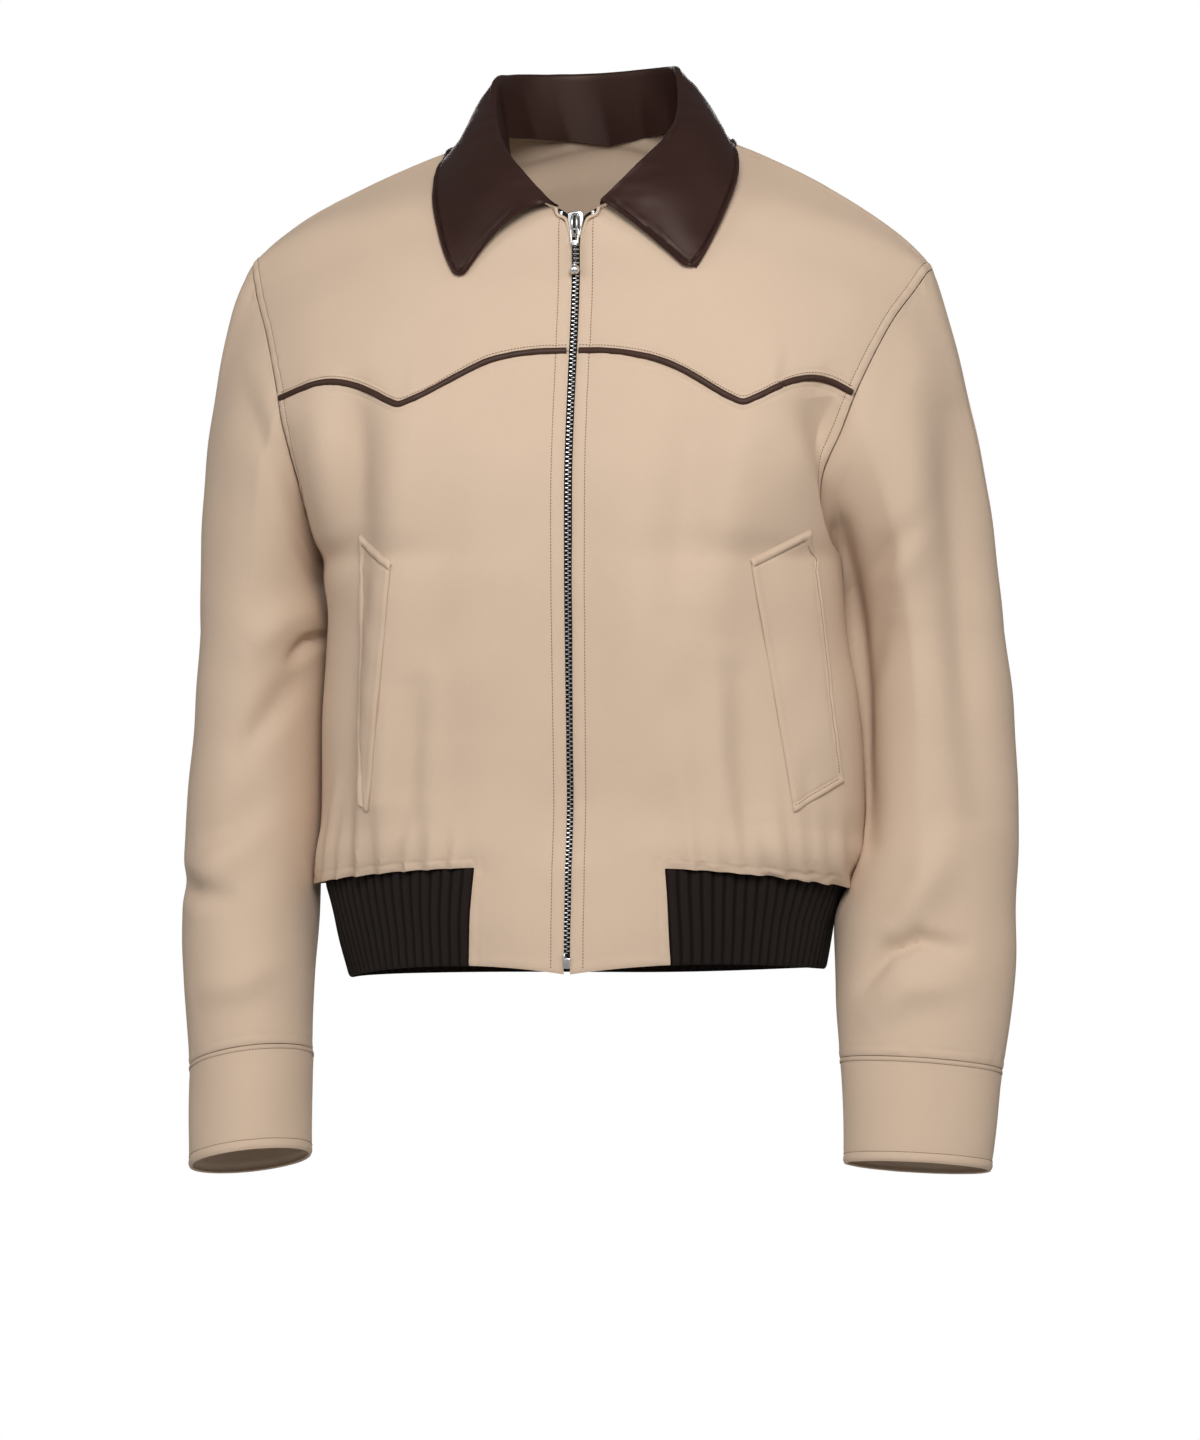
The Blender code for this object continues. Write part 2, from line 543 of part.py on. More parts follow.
def sleeve(side, turn, row):
    """A point of a sleeve with its folds, kept clear of the body beside it."""
    turn, row = np.broadcast_arrays(np.asarray(turn, float), np.asarray(row, float))
    p = sleeve_base(side, turn, row)

    def form(a, b):
        return sleeve_base(side, a, b)

    da, db = 0.01, 0.01
    along = form(turn + da, row) - form(turn - da, row)
    down = form(turn, np.minimum(row + db, 3)) - form(turn, np.maximum(row - db, 0))
    n = unit(np.cross(along, down) * -side)
    relief = np.zeros(turn.shape)
    for height, width_in, width_out, points in SLEEVE_FOLDS[side]:
        relief += height * fold_height(points, p[..., 0], p[..., 2], width_in, width_out)
    facing = np.clip(-n[..., 1] * 2.2 + 0.55, 0, 1)
    start = np.clip(row / 0.25, 0, 1)
    end = np.clip((2 - row) / 0.03, 0, 1) if side else 1
    p = p + n * (relief * facing * start * end)[..., None]
    facing = np.cos(2 * math.pi * np.interp(turn, *armhole_shares(side)))
    beside = (row > 0.05) & (facing > -0.3)
    return clear_of(p, BODY[0], BODY[1], np.where(beside, 2 + 2 * np.clip(row / 0.6, 0, 1), -999))


def clear_of(p, points, normals, gap):
    """Moves each p that lies over the points out along the nearest one's normal, until it stands gap
    away from it."""
    flat = p.reshape(-1, 3)
    gap = np.broadcast_to(gap, p.shape[:-1]).reshape(-1)
    for _ in range(2):
        moved = flat.copy()
        for start in range(0, len(flat), 400):
            part = flat[start:start + 400]
            away = ((part[:, None] - points[None]) ** 2).sum(-1)
            near = away.argmin(axis=1)
            n = normals[near]
            depth = ((part - points[near]) * n).sum(-1)
            beside = np.linalg.norm(part - points[near] - n * depth[:, None], axis=1)
            push = np.maximum(gap[start:start + 400] - depth, 0) * np.clip((13 - beside) / 5, 0, 1)
            push = np.where(depth > -45, push, 0)
            moved[start:start + 400] = part + n * push[:, None]
        flat = moved
    return flat.reshape(p.shape)


def body_samples():
    """Points and normals all over the body, for keeping sleeves and collar clear of it."""
    points, normals = [], []
    levels = np.concatenate([np.arange(-600, -300, 10), np.arange(-300, SHOULDER, 6)])
    us = np.linspace(0.01, 0.995, 44)
    u, level = np.meshgrid(us, levels)
    for side in (-1, 1):
        for face in ("front", "back"):
            points.append(torso(face, side, u, level).reshape(-1, 3))
            normals.append(torso_normal(face, side, u, level).reshape(-1, 3))
    return np.concatenate(points), np.concatenate(normals)


def fronts():
    """Each front from the hem to the yoke seam, and each yoke from there to the shoulder seam."""
    turns = np.arange(AROUND) / AROUND
    for side, tag in ((-1, "right"), (1, "left")):
        seam = yoke_level(side, np.append(column_u(side, COLUMNS, UNDERARM)[:-1], 1.0))
        hem = [np.full(17, v) for v in (-600 + GAP, -566, RIB_LEVEL - GAP)]
        low = [np.full(17, v) for v in LOW_LEVELS]
        low[0] = low[0] + GAP
        high = [UNDERARM + (seam - GAP - UNDERARM) * k for k in FRONT_STEPS[1:]]
        level = np.array(hem + low + high)
        u = np.array([column_u(side, COLUMNS, row) for row in level])
        u[:, -1] = SIDE_U
        u[:3, EDGE_COLUMN] -= GAP / 300
        keep = np.ones((len(level) - 1, 16), bool)
        keep[:3, EDGE_COLUMN:] = False
        panel("front_" + tag, side, u, level, keep, armhole_normals(side, turns[:6]), None)

        start = seam + GAP
        level = np.array([start + (SHOULDER - GAP - start) * k for k in YOKE_STEPS])
        u = np.array([column_u(side, COLUMNS, row) for row in level])
        u[:, -1] = SIDE_U
        top = torso_normal("back", side, u[-1], np.full(17, SHOULDER - GAP))
        panel("yoke_" + tag, side, u, level, None, armhole_normals(side, turns[5:15]), top)


def seam_normals(side, level):
    """The normal that front and back share down the side seam."""
    near = np.full(np.shape(level), 0.97)
    return unit(torso_normal("front", side, near, level) + torso_normal("back", side, near, level))


def panel(name, side, u, level, keep, arm, top):
    """One front piece: its rim follows the shared normals at the side seam, armhole and shoulder seam."""
    outer = torso("front", side, u, level)
    n = torso_normal("front", side, u, level)
    n[:, -1] = seam_normals(side, level[:, -1])
    if top is not None:
        n[-1] = unit(n[-1] + top)
    n[-len(arm):, -1] = arm
    cells = grid_cells(len(level), 17, keep)
    build(name, outer, outer - n * CLOTH, cells if side > 0 else cells[:, ::-1], cloth)


def back():
    """The back in one piece, split above the neckline's lowest point."""
    levels = np.concatenate([LOW_LEVELS[:-1], ARM_LEVELS])
    levels[0] += GAP
    levels[-1] -= GAP
    halves = []
    for side in (-1, 1):
        w = COLUMNS[::side]
        level = np.repeat(levels[:, None], 17, axis=1)
        u = np.array([column_u(side, w, row) for row in level])
        edge = np.array([column_u(side, np.full(17, EDGE_W), row) for row in level])
        first = np.interp(level, (0, 12), (0, GAP / 180))
        u = np.where(w < EDGE_W, first + (edge - first) * w / EDGE_W, u)
        rim = -1 if side > 0 else 0
        u[:, rim] = SIDE_U
        outer = torso("back", side, u, level)
        n = torso_normal("back", side, u, level)
        n[:, rim] = seam_normals(side, levels)
        n[-1] = unit(n[-1] + torso_normal("front", side, u[-1], np.full(17, SHOULDER - GAP)))
        n[-15:, rim] = armhole_normals(side, 1 - np.arange(15) / AROUND)
        halves.append((outer, n))
    outer = np.concatenate([halves[0][0], halves[1][0]], axis=1)
    n = np.concatenate([halves[0][1], halves[1][1]], axis=1)
    same = np.linalg.norm(outer[:, 16] - outer[:, 17], axis=1) < 0.01
    n[same, 16] = n[same, 17] = unit(n[same, 16] + n[same, 17])
    outer[same, 17] = outer[same, 16]
    keep = np.ones((len(levels) - 1, 33), bool)
    keep[:, 16] = False
    build("back", outer, outer - n * CLOTH, grid_cells(len(levels), 34, keep)[:, ::-1], cloth)


def sleeves():
    """Each sleeve from the armhole to the cuff, and the cuff."""
    rows = np.array([0.011, 0.1, 0.22, 0.36, 0.52, 0.68, 0.84, 1, 1.12, 1.24, 1.36, 1.48, 1.54, 1.6, 1.72,
                     1.86, 1.95, 1.9995])
    turn = np.arange(AROUND) / AROUND
    for side, tag in ((-1, "right"), (1, "left")):
        a, b = np.meshgrid(turn, rows)
        outer = sleeve(side, a, b)
        n = grid_normals(outer, around=True) * -side
        n[0] = armhole_normals(side, turn)
        cells = grid_cells(len(rows), AROUND, around=True)
        build("sleeve_" + tag, outer, outer - n * CLOTH, cells if side < 0 else cells[:, ::-1], cloth)
        a, b = np.meshgrid(turn, (2.005, 2.12, 2.6, 3))
        outer = sleeve_base(side, a, b)
        n = grid_normals(outer, around=True) * -side
        cells = grid_cells(4, AROUND, around=True)
        build("cuff_" + tag, outer, outer - n * 2.2, cells if side < 0 else cells[:, ::-1], cloth)


def hem_path(level):
    """Points of the hem band's outline at one level, from one front's plain cloth round the back."""
    u = np.linspace(0, 1, 61)
    edge_r, edge_l = (column_u(side, np.array([EDGE_W]), level)[0] + GAP / 200 for side in (-1, 1))
    level = np.full(61, float(level))
    return np.concatenate([torso("front", -1, edge_r + (1 - edge_r) * u, level),
                           torso("back", -1, 1 - u, level)[1:],
                           torso("back", 1, u, level)[1:],
                           torso("front", 1, 1 - (1 - edge_l) * u, level)[1:]])


def rib_band():
    """The knit hem band, its ribs raised in the outer points over a plain inside."""
    count = 2 * RIB_COUNT + 1
    rows = []
    for level in (RIB_LEVEL - GAP, -566, -600 + GAP):
        path = hem_path(level)
        run = np.concatenate([[0], np.cumsum(np.linalg.norm(np.diff(path, axis=0), axis=1))])
        at = np.linspace(0, run[-1], count)
        rows.append(np.stack([np.interp(at, run, path[:, k]) for k in range(3)], axis=1))
    p = np.array(rows)
    along = np.gradient(p, axis=1)
    n = unit(np.cross(along, (0, 0, 1.0)))
    n = n * np.sign((n * (p - p.mean(axis=(0, 1)))).sum(-1, keepdims=True).mean())
    raised = RIB_RAISE * (np.arange(count) % 2)
    inner = p - n * KNIT
    outer = p + n * (raised[None, :, None] - RIB_RAISE)
    build("hem_rib", outer, inner, grid_cells(3, count)[:, ::-1], knit)


# The collar, half of it from the middle of the back to its front end: the roll line and the outer
# edge. Its upper part leans a little to the wearer's right.
#         s      roll line         outer edge
COLLAR = [(0,      0,  60,  74,      0,  90,  14),
          (0.15,  36,  52,  74,     46,  84,  12),
          (0.30,  59,  30,  72,     86,  58,  12),
          (0.42,  68,   6,  67,    107,  20,   9),
          (0.55,  70, -18,  46,    114, -18,   4),
          (0.68,  67, -42,  24,    114, -48, -18),
          (0.80,  58, -62,   6,    107, -72, -45),
          (0.90,  43, -80, -11,     97, -90, -71),
          (1.00,  18, -95, -37,     87, -99, -88)]


def neckline(side, s):
    """The neck edge of the body, straight between the panels' rows: s from 0 at the middle of the back to
    1 at the collar's front end."""
    seam = yoke_level(side, 0.0)[0]
    rows = seam + (SHOULDER - seam) * YOKE_STEPS[:3:-1]
    at = np.concatenate([np.array(ARM_LEVELS[-4:]) / SHOULDER * 0.42,
                         np.interp(-rows[1:], (-SHOULDER, 30), (0.42, 1))])
    points = np.concatenate([torso("back", side, np.zeros(4), np.array(ARM_LEVELS[-4:], float)),
                             torso("front", side, np.zeros(len(rows) - 1), rows[1:])])
    return np.stack([np.interp(s, at, points[:, k]) for k in range(3)], axis=-1)


def collar_point(side, s, w):
    """A point of the collar's shown side: w from 0 at the stand's foot to 1 at the roll line and 2 at
    the outer edge."""
    s, w = np.broadcast_arrays(np.asarray(s, float), np.asarray(w, float))
    row = smooth(COLLAR, s)
    mirror = np.array([side, 1, 1])
    roll, edge = row[..., 0:3] * mirror, row[..., 3:6] * mirror
    edge[..., 0] -= (side > 0) * 9 * np.exp(-((s - 0.47) / 0.16) ** 2)
    away = roll * np.array([1, 1, 0])
    away = unit(away - np.array([0, -14, 0]))
    spread = 2.6 * np.clip((1.02 - s) / 0.25, 0.25, 1)[..., None]
    inside, outside = roll - away * spread, roll + away * spread
    foot = neckline(side, s) - away * (LEATHER + 1.6) - np.array([0, 0, 1.5])
    stand = foot + (inside - foot) * np.clip(w / 0.85, 0, 1)[..., None]
    turn = np.clip((w - 0.85) / 0.3, 0, 1)[..., None] * math.pi
    bend = roll - away * spread * np.cos(turn) + np.array([0, 0, 1]) * spread * np.sin(turn)
    t = np.clip((w - 1.15) / 0.85, 0, 1)[..., None]
    fall = outside + (edge - outside) * t + away * 5 * np.sin(math.pi * t) * (1 - t)
    bow = (7.5 if side < 0 else 2.5) * np.clip((s - 0.8) / 0.2, 0, 1) ** 1.5
    fall[..., 2] += bow * np.sin(math.pi * t[..., 0]) ** 0.8
    p = np.where((w < 0.85)[..., None], stand, np.where((w > 1.15)[..., None], fall, bend))
    lean = np.maximum(p[..., 2] - 22, 0) * -0.17
    p[..., 0] += lean
    p[..., 2] += 0.03 * p[..., 0]
    return p


def collar():
    s = np.array([1, 0.93, 0.858, 0.80, 0.7487, 0.69, 0.639, 0.5296, 0.42, 0.34, 0.26, 0.17, 0.085, 0])
    w = np.array([0, 0.45, 0.85, 0.95, 1.05, 1.15, 1.32, 1.52, 1.76, 2.0])
    right = collar_point(-1, *np.meshgrid(s, w))
    left = collar_point(1, *np.meshgrid(s[::-1][1:], w))
    p = np.concatenate([right, left], axis=1)
    n = grid_normals(p)
    n = n * np.sign(n[-3, 3, 0]) * -1
    outer = p.copy()
    rest = w > 1.1
    reach = np.abs(np.concatenate([s, s[::-1][1:]]))
    outer[rest] = clear_of(p[rest], BODY[0], BODY[1], LEATHER + 2.2 + 3.2 * np.clip((0.7 - reach) / 0.15, 0, 1))
    n = grid_normals(outer)
    n = n * -np.sign(n[-3, 3, 0])
    build("collar", outer, outer - n * LEATHER, grid_cells(len(w), p.shape[1])[:, ::-1], leather)


def on_front(side, x, z):
    """u and level of the fronts' point seen at (x, z) from the front."""
    us = np.linspace(0, 1, 161)
    level = np.asarray(z, float).copy()
    for _ in range(6):
        row = torso("front", side, us[None, :], level.reshape(-1)[:, None])
        u = np.array([np.interp(abs(t), np.abs(r[:, 0]), us) for t, r in zip(x.reshape(-1), row)])
        found = np.array([np.interp(a, us, r[:, 2]) for a, r in zip(u, row)])
        level = level + (z - found.reshape(z.shape))
    return u.reshape(x.shape), level


def piping():
    """The leather bead laid in each yoke seam, from the armhole to the zip."""
    section = [(-1.9, 0.45), (-1.5, 1.5), (0, 2.1), (1.5, 1.5), (1.9, 0.45)]
    for side, tag in ((-1, "right"), (1, "left")):
        u = np.concatenate([np.linspace(0.985, 0.12, 34), [zip_u(np.array(-150.0)) + 0.006]])
        level = yoke_level(side, u)
        path = torso("front", side, u, level)
        n = torso_normal("front", side, u, level)
        across = unit(np.cross(n, np.gradient(path, axis=0)))
        sweep("piping_" + tag, path, across, n, section, leather)


# Corners of each welt as seen from the front, (x, z): upper inner, upper outer, lower outer, lower inner.
WELTS = {1: [(128, -296), (169, -274), (191, -456), (158, -478)],
         -1: [(-131, -296), (-168, -274), (-190, -456), (-158, -478)]}


def welts():
    for side, tag in ((-1, "right"), (1, "left")):
        a, b = np.meshgrid(np.linspace(0, 1, 5), np.linspace(0, 1, 13))
        c = np.array(WELTS[side], float)
        flat = ((1 - a) * (1 - b))[..., None] * c[0] + (a * (1 - b))[..., None] * c[1] \
            + (a * b)[..., None] * c[2] + ((1 - a) * b)[..., None] * c[3]
        u, level = on_front(side, flat[..., 0], flat[..., 1])
        p = torso("front", side, u, level)
        n = torso_normal("front", side, u, level)
        lift = (1.1 if side < 0 else 1.6) + 0.9 * a[..., None] ** 2
        cells = grid_cells(13, 5)
        build("welt_" + tag, p + n * (lift + 1.6), p + n * lift,
              cells[:, ::-1] if side > 0 else cells, cloth)


def zip_line(level, off_x, depth):
    """Points beside the zip's centre line: off_x to the wearer's left, depth behind the cloth."""
    level = np.asarray(level, float)
    row = smooth(FRONT, level)
    return np.stack([np.full(level.shape, 0.0) + off_x, row[..., 1] + depth, row[..., 2]], axis=-1)


def zip_parts():
    seam = yoke_level(1, np.array([0.0]))[0]
    level = np.concatenate([(-597, -566), LOW_LEVELS, UNDERARM + (seam - UNDERARM) * FRONT_STEPS[1:],
                            seam + (SHOULDER - seam) * YOKE_STEPS[1:2], (-80, -64)])
    across = np.tile((1.0, 0, 0), (len(level), 1))
    up = np.tile((0, -1.0, 0), (len(level), 1))
    sweep("zip_chain", zip_line(level, 0, 0), across, up,
          [(-2.2, -1.4), (-2.2, 0.3), (2.2, 0.3), (2.2, -1.4)], silver)
    # The tapes follow the fronts' edges, and show between them where the zip opens at the top.
    level = np.append(level, [-58, -52, -47, -43])
    edge = np.interp(level, *np.array(ZIP_EDGE, float).T)
    for side, tag in ((-1, "right"), (1, "left")):
        first = np.maximum(edge - np.interp(level, (-70, -58, -43), (2.6, 3.2, 4)), 0.3)
        path = zip_line(level, 0, np.interp(level, (-80, -60), (1.75, 2.7)))
        outer = np.stack([path, path], axis=1)
        outer[:, 0, 0] = side * first
        outer[:, 1, 0] = side * (first + np.interp(level, (-58, -43), (12, 6)))
        n = np.tile((0, -1.0, 0), (len(level), 2, 1))
        cells = grid_cells(len(level), 2)
        build("zip_tape_" + tag, outer, outer - n * 0.8, cells if side > 0 else cells[:, ::-1], tape)
    top, hem = zip_line(-44.0, 0, 0), zip_line(-592.0, 0, 0)
    for side, tag in ((-1, "right"), (1, "left")):
        block("zip_stop_" + tag, (side * 11.6, top[1] + 1.4, -45.2), (2.4, 1.8, 3.0), 0.5, silver)
    block("zip_stop_bottom", (0, hem[1] - 1.4, -582), (5.2, 1.6, 11), 0.4, silver)


def block(name, centre, size, bevel, look):
    """A box with every edge rounded off."""
    bm = bmesh.new()
    bmesh.ops.create_cube(bm, size=1)
    bmesh.ops.scale(bm, vec=size, verts=bm.verts)
    bmesh.ops.bevel(bm, geom=bm.edges, offset=bevel, segments=1, affect="EDGES")
    bmesh.ops.translate(bm, vec=centre, verts=bm.verts)
    bmesh.ops.scale(bm, vec=(MM, MM, MM), verts=bm.verts)
    mesh = bpy.data.meshes.new(name)
    bm.to_mesh(mesh)
    bm.free()
    mesh.materials.append(look)
    obj = bpy.data.objects.new(name, mesh)
    bpy.context.scene.collection.objects.link(obj)
    return obj


def join(base, others):
    """Unites others with base into one solid."""
    for other in others:
        cut = base.modifiers.new("join", "BOOLEAN")
        cut.operation, cut.object, cut.solver = "UNION", other, "EXACT"
    graph = bpy.context.evaluated_depsgraph_get()
    mesh = bpy.data.meshes.new_from_object(base.evaluated_get(graph))
    base.modifiers.clear()
    base.data = mesh
    for other in others:
        bpy.data.objects.remove(other, do_unlink=True)
    return base


# The slider, its bridge, and the pull that swings on a bar under the bridge. Heights are absolute.
SLIDER_TOP, SLIDER_FOOT = -44.5, -64.0
HINGE = (0, -102.1, -58.2)
BALL_Z, BALL_RADIUS = -87.2, 3.6


def slider():
    plate_back, plate_front = -94.9, -97.6
    outline = [(-4.4, SLIDER_TOP), (4.4, SLIDER_TOP), (5.8, SLIDER_TOP - 2.4), (5.6, SLIDER_TOP - 7),
               (4.0, SLIDER_TOP - 13), (3.6, SLIDER_FOOT + 0.8), (2.8, SLIDER_FOOT),
               (-2.8, SLIDER_FOOT), (-3.6, SLIDER_FOOT + 0.8), (-4.0, SLIDER_TOP - 13),
               (-5.6, SLIDER_TOP - 7), (-5.8, SLIDER_TOP - 2.4)]
    points = [(x * k, y, z + (1 - k) * 0) for y, k in ((plate_back, 1), (plate_front + 0.5, 1), (plate_front, 0.86))
              for x, z in outline]
    n = len(outline)
    faces = [(r * n + j, r * n + (j + 1) % n, (r + 1) * n + (j + 1) % n, (r + 1) * n + j)
             for r in range(2) for j in range(n)]
    faces += [tuple(range(n))[::-1], tuple(range(2 * n, 3 * n))]
    body = solid("zip_slider", points, faces, silver)
    outward(body)
    # the bridge: a flat strap from the top of the plate over the hinge bar and back down
    path = np.array([(0, -96.8, -46.8), (0, -100.4, -47.2), (0, -103.2, -49.4), (0, -103.9, -53),
                     (0, -103.9, -57), (0, -103.2, -60.2), (0, -100.4, -61.9), (0, -96.8, -62.2)])
    along = np.gradient(path, axis=0)
    up = unit(np.cross(along, (1.0, 0, 0)))
    across = np.tile((1.0, 0, 0), (len(path), 1))
    strap = sweep("strap", path, across, up, [(-1.9, -0.55), (1.9, -0.55), (1.9, 0.55), (-1.9, 0.55)], silver)
    join(body, [strap])


def pull():
    """The bail with its hinge bar, the rod of the bead chain and the ball, hanging straight down."""
    x, y, z = HINGE
    bar = rod("zip_pull", (x - 3.4, y, z), (x + 3.4, y, z), 0.6, 8)
    arms = [rod("arm", (x + k * 3.0, y, z), (x + k * 3.0, y, z - 8.2), 0.6, 8) for k in (-1, 1)]
    foot = block("foot", (x, y, z - 9.6), (7.2, 1.5, 3.6), 0.35, silver)
    chain = rod("chain", (x, y, z - 10.5), (x, y, BALL_Z), 1.5, 8)
    bpy.ops.mesh.primitive_uv_sphere_add(segments=16, ring_count=10, radius=BALL_RADIUS * MM,
                                         location=(x * MM, y * MM, BALL_Z * MM))
    ball = bpy.context.object
    join(bar, arms + [foot, chain, ball])
    bar.data.materials.clear()
    bar.data.materials.append(silver)


def rod(name, start, end, radius, sides):
    """A round bar from start to end."""
    start, end = np.array(start, float), np.array(end, float)
    axis = unit(end - start)
    side_way = unit(np.cross(axis, (0.3, 1.0, 0.2)))
    other = np.cross(axis, side_way)
    turn = 2 * math.pi * np.arange(sides) / sides
    section = np.stack([np.cos(turn), np.sin(turn)], axis=1) * radius
    return sweep(name, [start, end], [side_way, side_way], [other, other], section, silver)


cloth = material("tan_twill", (0.62, 0.46, 0.33), 0.9)
leather = material("brown_leather", (0.035, 0.018, 0.014), 0.35)
knit = material("brown_rib", (0.02, 0.013, 0.011), 0.95)
silver = material("silver_metal", (0.72, 0.72, 0.73), 0.3, 1.0)
tape = material("black_tape", (0.012, 0.012, 0.013), 0.8)

for old in list(bpy.data.objects):
    bpy.data.objects.remove(old, do_unlink=True)

BODY = body_samples()
fronts()
back()
sleeves()
rib_band()
collar()
piping()
welts()
zip_parts()
slider()
pull()
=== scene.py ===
import math

import bpy
import numpy as np
from mathutils import Matrix, Vector


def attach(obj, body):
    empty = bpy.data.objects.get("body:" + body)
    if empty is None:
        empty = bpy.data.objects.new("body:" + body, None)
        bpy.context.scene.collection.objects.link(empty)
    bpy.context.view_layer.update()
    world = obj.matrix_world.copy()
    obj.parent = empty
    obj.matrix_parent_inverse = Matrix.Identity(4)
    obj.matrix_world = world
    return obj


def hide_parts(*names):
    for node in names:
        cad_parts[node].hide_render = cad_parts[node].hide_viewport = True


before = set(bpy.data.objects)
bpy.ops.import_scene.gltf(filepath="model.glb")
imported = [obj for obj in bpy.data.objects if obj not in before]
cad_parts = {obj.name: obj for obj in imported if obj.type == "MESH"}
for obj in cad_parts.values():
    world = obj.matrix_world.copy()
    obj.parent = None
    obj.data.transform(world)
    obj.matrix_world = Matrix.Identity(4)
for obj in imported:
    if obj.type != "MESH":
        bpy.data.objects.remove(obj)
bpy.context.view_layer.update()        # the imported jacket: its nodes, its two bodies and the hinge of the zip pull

MM = 0.001               # tables and forms are in millimetres; meshes are made in metres

# ------------------------------------------------------------------ camera, floor and lights
# The jacket hangs at shoulder height over a plain white floor, in the soft even light of a studio.
# The camera stands level with its waist, a little to the wearer's left of straight ahead.
VIEW_TURN = math.radians(8.6)
VIEW_DISTANCE, EYE_HEIGHT, EYE_SIDE = 3.4, -0.4107, 0.003
VIEW_HEIGHT = 1.0656         # how much of the jacket's plane the camera sees from top to bottom
FLOOR_HEIGHT = -1.4


def placed(name, data):
    """A new object of this name and data, in the scene."""
    made = bpy.data.objects.new(name, data)
    bpy.context.scene.collection.objects.link(made)
    return made


to_eye = np.array([math.sin(VIEW_TURN), -math.cos(VIEW_TURN), 0])
to_right = np.array([math.cos(VIEW_TURN), math.sin(VIEW_TURN), 0])
camera = placed("camera", bpy.data.cameras.new("camera"))
camera.data.lens = 36 * VIEW_DISTANCE / VIEW_HEIGHT
camera.data.clip_end = 60
eye = to_eye * VIEW_DISTANCE + to_right * EYE_SIDE + np.array([0, 0, EYE_HEIGHT])
turn = Matrix((to_right, (0, 0, 1), to_eye)).transposed()
camera.matrix_world = Matrix.Translation(eye) @ turn.to_4x4()
bpy.context.scene.camera = camera
bpy.context.scene.view_settings.view_transform = "Standard"

#          name        place               size  watts  gloss  colour
STUDIO = [("key",   (0.35, -1.95, 0.62),  1.0,   33.5, 0.8,  (1.0, 0.99, 0.975)),
          ("fill",  (-2.3, -1.9,  0.5),   1.8,   22,  0.4,  (0.985, 0.99, 1.0)),
          ("side",  (2.4,  -1.5,  0.7),   1.6,   15,  0.3,  (1.0, 0.99, 0.98)),
          ("rear",  (-0.6,  3.4,  0.5),   2.4,   80,  0.15, (1.0, 1.0, 1.0))]
for name, place, size, watts, gloss, colour in STUDIO:
    lamp = bpy.data.lights.new(name, "AREA")
    lamp.shape, lamp.size, lamp.energy, lamp.color = "DISK", size, watts, colour
    lamp.specular_factor = gloss
    aim = Vector((0, 0, -0.35)) - Vector(place)
    placed(name, lamp).matrix_world = Matrix.Translation(place) @ aim.to_track_quat("-Z", "Y").to_matrix().to_4x4()


def node(tree, kind, inputs=(), **settings):
    """A new shader node with these settings; each input takes a value or another node's output."""
    made = tree.nodes.new("ShaderNode" + kind)
    for label, value in settings.items():
        setattr(made, label, value)
    for label, value in dict(inputs).items():
        if isinstance(value, bpy.types.NodeSocket):
            tree.links.new(value, made.inputs[label])
        else:
            made.inputs[label].default_value = value
    return made


def room_glow(tree):
    """The white room: at full strength where the camera looks at it, a fifth of that where it lights."""
    seen = node(tree, "LightPath").outputs["Is Camera Ray"]
    return node(tree, "MapRange", {"Value": seen, "To Min": 0.20, "To Max": 1.0}).outputs["Result"]


world = bpy.data.worlds.new("studio")
world.use_nodes = True
sky = world.node_tree.nodes["Background"].inputs
sky["Color"].default_value = (1, 1, 1, 1)
world.node_tree.links.new(room_glow(world.node_tree), sky["Strength"])
bpy.context.scene.world = world


def ring_quads(rings, points, closed=False):
    """Corner numbers of the cells between rings of points, ring after ring; closed joins the last ring
    to the first."""
    i, j = np.meshgrid(np.arange(rings if closed else rings - 1), np.arange(points), indexing="ij")
    here, there, after = i * points, (i + 1) % rings * points, (j + 1) % points
    return np.stack([here + j, here + after, there + after, there + j], -1).reshape(-1, 4)


def studio_floor():
    """A flat disc of 25 m in rings; near the jacket it is white paint, and further out it glows as
    the room does, so that no horizon shows."""
    rings, spokes = np.array([0.02, 1, 2, 3, 5, 9, 16, 25]), 64
    angle = 2 * math.pi * np.arange(spokes) / spokes
    points = np.stack([rings[:, None] * np.cos(angle), rings[:, None] * np.sin(angle),
                       np.full((len(rings), spokes), FLOOR_HEIGHT)], axis=-1).reshape(-1, 3)
    quads = ring_quads(len(rings), spokes)[:, ::-1].tolist()
    mesh = bpy.data.meshes.new("studio_floor")
    mesh.from_pydata(points.tolist(), [], quads + [tuple(range(spokes))])
    look = bpy.data.materials.new("white_floor")
    look.use_nodes = True
    tree = look.node_tree
    paint = tree.nodes["Principled BSDF"]
    paint.inputs["Base Color"].default_value = (0.6, 0.6, 0.6, 1)
    paint.inputs["Roughness"].default_value = 0.9
    glow = node(tree, "Emission", {"Strength": room_glow(tree)})
    reach = node(tree, "VectorMath", {0: node(tree, "TexCoord").outputs["Object"]}, operation="LENGTH")
    ease = node(tree, "MapRange", {"Value": reach.outputs["Value"], "From Min": 1.2, "From Max": 2.8})
    mix = node(tree, "MixShader", {"Fac": ease.outputs["Result"], 1: paint.outputs[0], 2: glow.outputs[0]})
    tree.links.new(mix.outputs[0], tree.nodes["Material Output"].inputs["Surface"])
    mesh.materials.append(look)
    placed("studio_floor", mesh)


studio_floor()

# ------------------------------------------------------------------ the two fronts
# Each front is one piece of firm cotton twill from the yoke seam to the hem. It hangs from the
# shoulders in a few soft folds, is gathered into the knit band at the side, and runs plain down to
# the hem beside the zip, where its edge is folded under and stitched.
CLOTH_WALL = 1.2
SEAM_GAP = 0.15              # half of the gap between two pieces at a seam
HEM_LEVEL, RIB_LEVEL, UNDERARM = -600, -530, -295
CHEST_NECK, BACK_NECK, SHOULDER = -42, 0, 24

